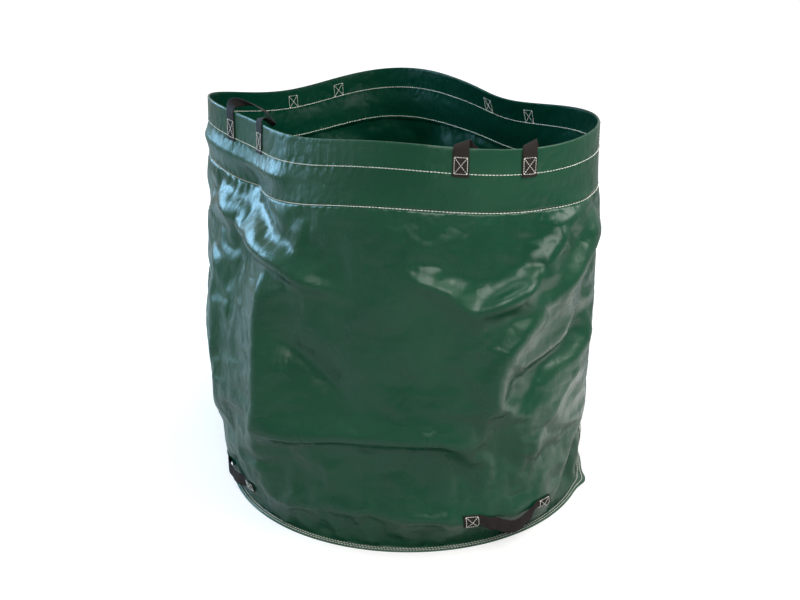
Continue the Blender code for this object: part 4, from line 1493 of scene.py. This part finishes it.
LAMPS = (
    Lamp("window_left", (-2.05, 0.98, 1.20), (1.2, 1.0), 46.0, (0.34, 0.68, 1.0)),
    Lamp("soft_top", (0.0, 0.0, 3.0), (0.9, 0.9), 12.0, (1.0, 1.0, 1.0)),
    Lamp("soft_front", (-0.2, -2.6, 2.4), (1.6, 1.6), 60.0, (1.0, 1.0, 0.95)),
    Lamp("soft_right", (1.5, -0.8, 2.1), (1.2, 1.2), 34.0, (1.0, 0.98, 0.95)),
)
# A sheet of paper on the floor that only gloss sees, on the right
PAPER = Lamp("paper_right", (1.15, -0.45, 0.004), (1.3, 1.2), 5.0, (1.0, 0.99, 0.96))


@dataclass
class Studio:
    """White floor, soft lamps and the camera where the photograph was taken from."""

    camera_at: tuple[float, float, float] = (-0.0493, -1.8279, 1.0455)
    pitch: float = 21.42
    lens: float = 46.35
    sensor: float = 36.0
    shift: float = 0.0233
    floor_size: float = 30.0
    floor_level: float = -0.0002
    floor_grey: float = 0.50
    floor_roughness: float = 0.9
    floor_near: float = 0.62
    # Distances from the middle between which the floor that the camera sees goes to white
    floor_fade: tuple[float, float] = (0.45, 1.3)
    floor_gloss: float = 0.25
    room_level: float = 0.20
    front_level: float = 0.07
    # Directions in y between which the room goes from its level in front to the one behind
    room_fade: tuple[float, float] = (-0.9, 0.1)
    room_gloss: float = 3.0

    def build(self) -> None:
        """Camera, lamps, world and floor, in the Standard view transform."""
        scene = bpy.context.scene
        scene.view_settings.view_transform = "Standard"
        camera = bpy.data.cameras.new("camera")
        camera.lens, camera.sensor_width, camera.shift_x = self.lens, self.sensor, self.shift
        viewer = bpy.data.objects.new("camera", camera)
        viewer.location = self.camera_at
        viewer.rotation_euler = (math.radians(90 - self.pitch), 0, 0)
        scene.collection.objects.link(viewer)
        scene.camera = viewer
        for lamp in LAMPS:
            lamp.build()
        paper = PAPER.build()
        paper.rotation_euler = (math.pi, 0, 0)
        paper.visible_camera = paper.visible_diffuse = False
        self.world()
        self.floor()

    def world(self) -> None:
        """White to the camera and through glass, and a dim room that is brighter in gloss and behind."""
        kit = NodeKit(bpy.data.worlds.new("studio"), "Background")
        bpy.context.scene.world = kit.owner
        kit.shader.inputs["Color"].default_value = (1, 1, 1, 1)
        way = kit.add("ShaderNodeTexCoord").outputs["Generated"]
        depth = kit.add("ShaderNodeSeparateXYZ", {0: way}).outputs[1]
        room = kit.ramp(depth, *self.room_fade, self.front_level, self.room_level)
        path = kit.add("ShaderNodeLightPath").outputs
        gloss = kit.sum("ADD", kit.sum("MULTIPLY", path["Is Glossy Ray"], self.room_gloss), 1.0)
        seen = kit.sum("MAXIMUM", path["Is Camera Ray"], path["Is Transmission Ray"])
        kit.feed(kit.shader, "Strength", kit.sum("MAXIMUM", seen, kit.sum("MULTIPLY", room, gloss)))

    def floor(self) -> None:
        """Level square, white to the camera all round and grey with a soft shadow near the bag's foot."""
        side = np.linspace(-self.floor_size / 2, self.floor_size / 2, 3)
        x, y = np.meshgrid(side, side)
        points = np.stack([x, y, np.full_like(x, self.floor_level)], axis=-1)
        floor = grid_piece("floor", points, side, side, closed=False)
        kit = NodeKit(bpy.data.materials.new("white_floor"))
        kit.shader.inputs["Base Color"].default_value = (self.floor_grey,) * 3 + (1,)
        kit.shader.inputs["Roughness"].default_value = self.floor_roughness
        kit.shader.inputs["Emission Color"].default_value = (1, 1, 1, 1)
        path = kit.add("ShaderNodeLightPath").outputs
        seen = kit.sum("MAXIMUM", path["Is Camera Ray"], path["Is Transmission Ray"])
        seen = kit.sum("MAXIMUM", seen, kit.sum("MULTIPLY", path["Is Glossy Ray"], self.floor_gloss))
        place = kit.add("ShaderNodeTexCoord").outputs["Object"]
        away = kit.add("ShaderNodeVectorMath", {0: place}, operation="LENGTH").outputs["Value"]
        glow = kit.ramp(away, *self.floor_fade, self.floor_near, 1.0)
        kit.feed(kit.shader, "Emission Strength", kit.sum("MULTIPLY", seen, glow))
        floor.data.materials.append(kit.owner)


def main() -> None:
    """Builds the scene."""
    logging.basicConfig(level=logging.INFO, format="%(name)s: %(message)s")
    Studio().build()
    sheet = CoatedSheet().make()
    cloth = BagCloth()
    base = BasePanel(cloth.stance).build(sheet)
    log.info("built %s", base.name)
    for piece in cloth.build(sheet):
        log.info("built %s", piece.name)
    webbing, thread = Webbing().make(), Thread().make()
    box_seam = Seam("box_stitches", Stitch(pitch=0.0036, gap=0.0005, radius=0.00055))
    straps = [
        MouthLoop("top_handle_front_right", -0.1288, cloth, fall=Fall.IN),
        MouthLoop("top_handle_front_left", -0.3787, cloth, fall=Fall.UP),
        MouthLoop("top_handle_back_right", 0.1300, cloth, fall=Fall.OUT),
        MouthLoop("top_handle_back_left", 0.3810, cloth, fall=Fall.OUT),
        BaseGrip("bottom_handle_front_right", -0.1226, cloth, slack=0.011, sag=0.014),
        BaseGrip("bottom_handle_front_left", -0.3787, cloth, slack=0.008, sag=0.006),
        BaseGrip("bottom_handle_back_right", 0.1245, cloth, slack=0.015, sag=0.008),
        BaseGrip("bottom_handle_back_left", 0.3734, cloth, slack=0.012, sag=0.010),
    ]
    for strap in straps:
        log.info("built %s", strap.build(webbing, box_seam).name)
    log.info("built %s", box_seam.build(thread).name)
    lap_seam = Seam("side_seam_stitches", Stitch())
    log.info("built %s", SideSeam(cloth).build(sheet, lap_seam).name)
    log.info("built %s", lap_seam.build(thread).name)
    for piece in CrossSeams(cloth).build(thread, Stitch()):
        log.info("built %s", piece.name)


if __name__ == "__main__":
    main()
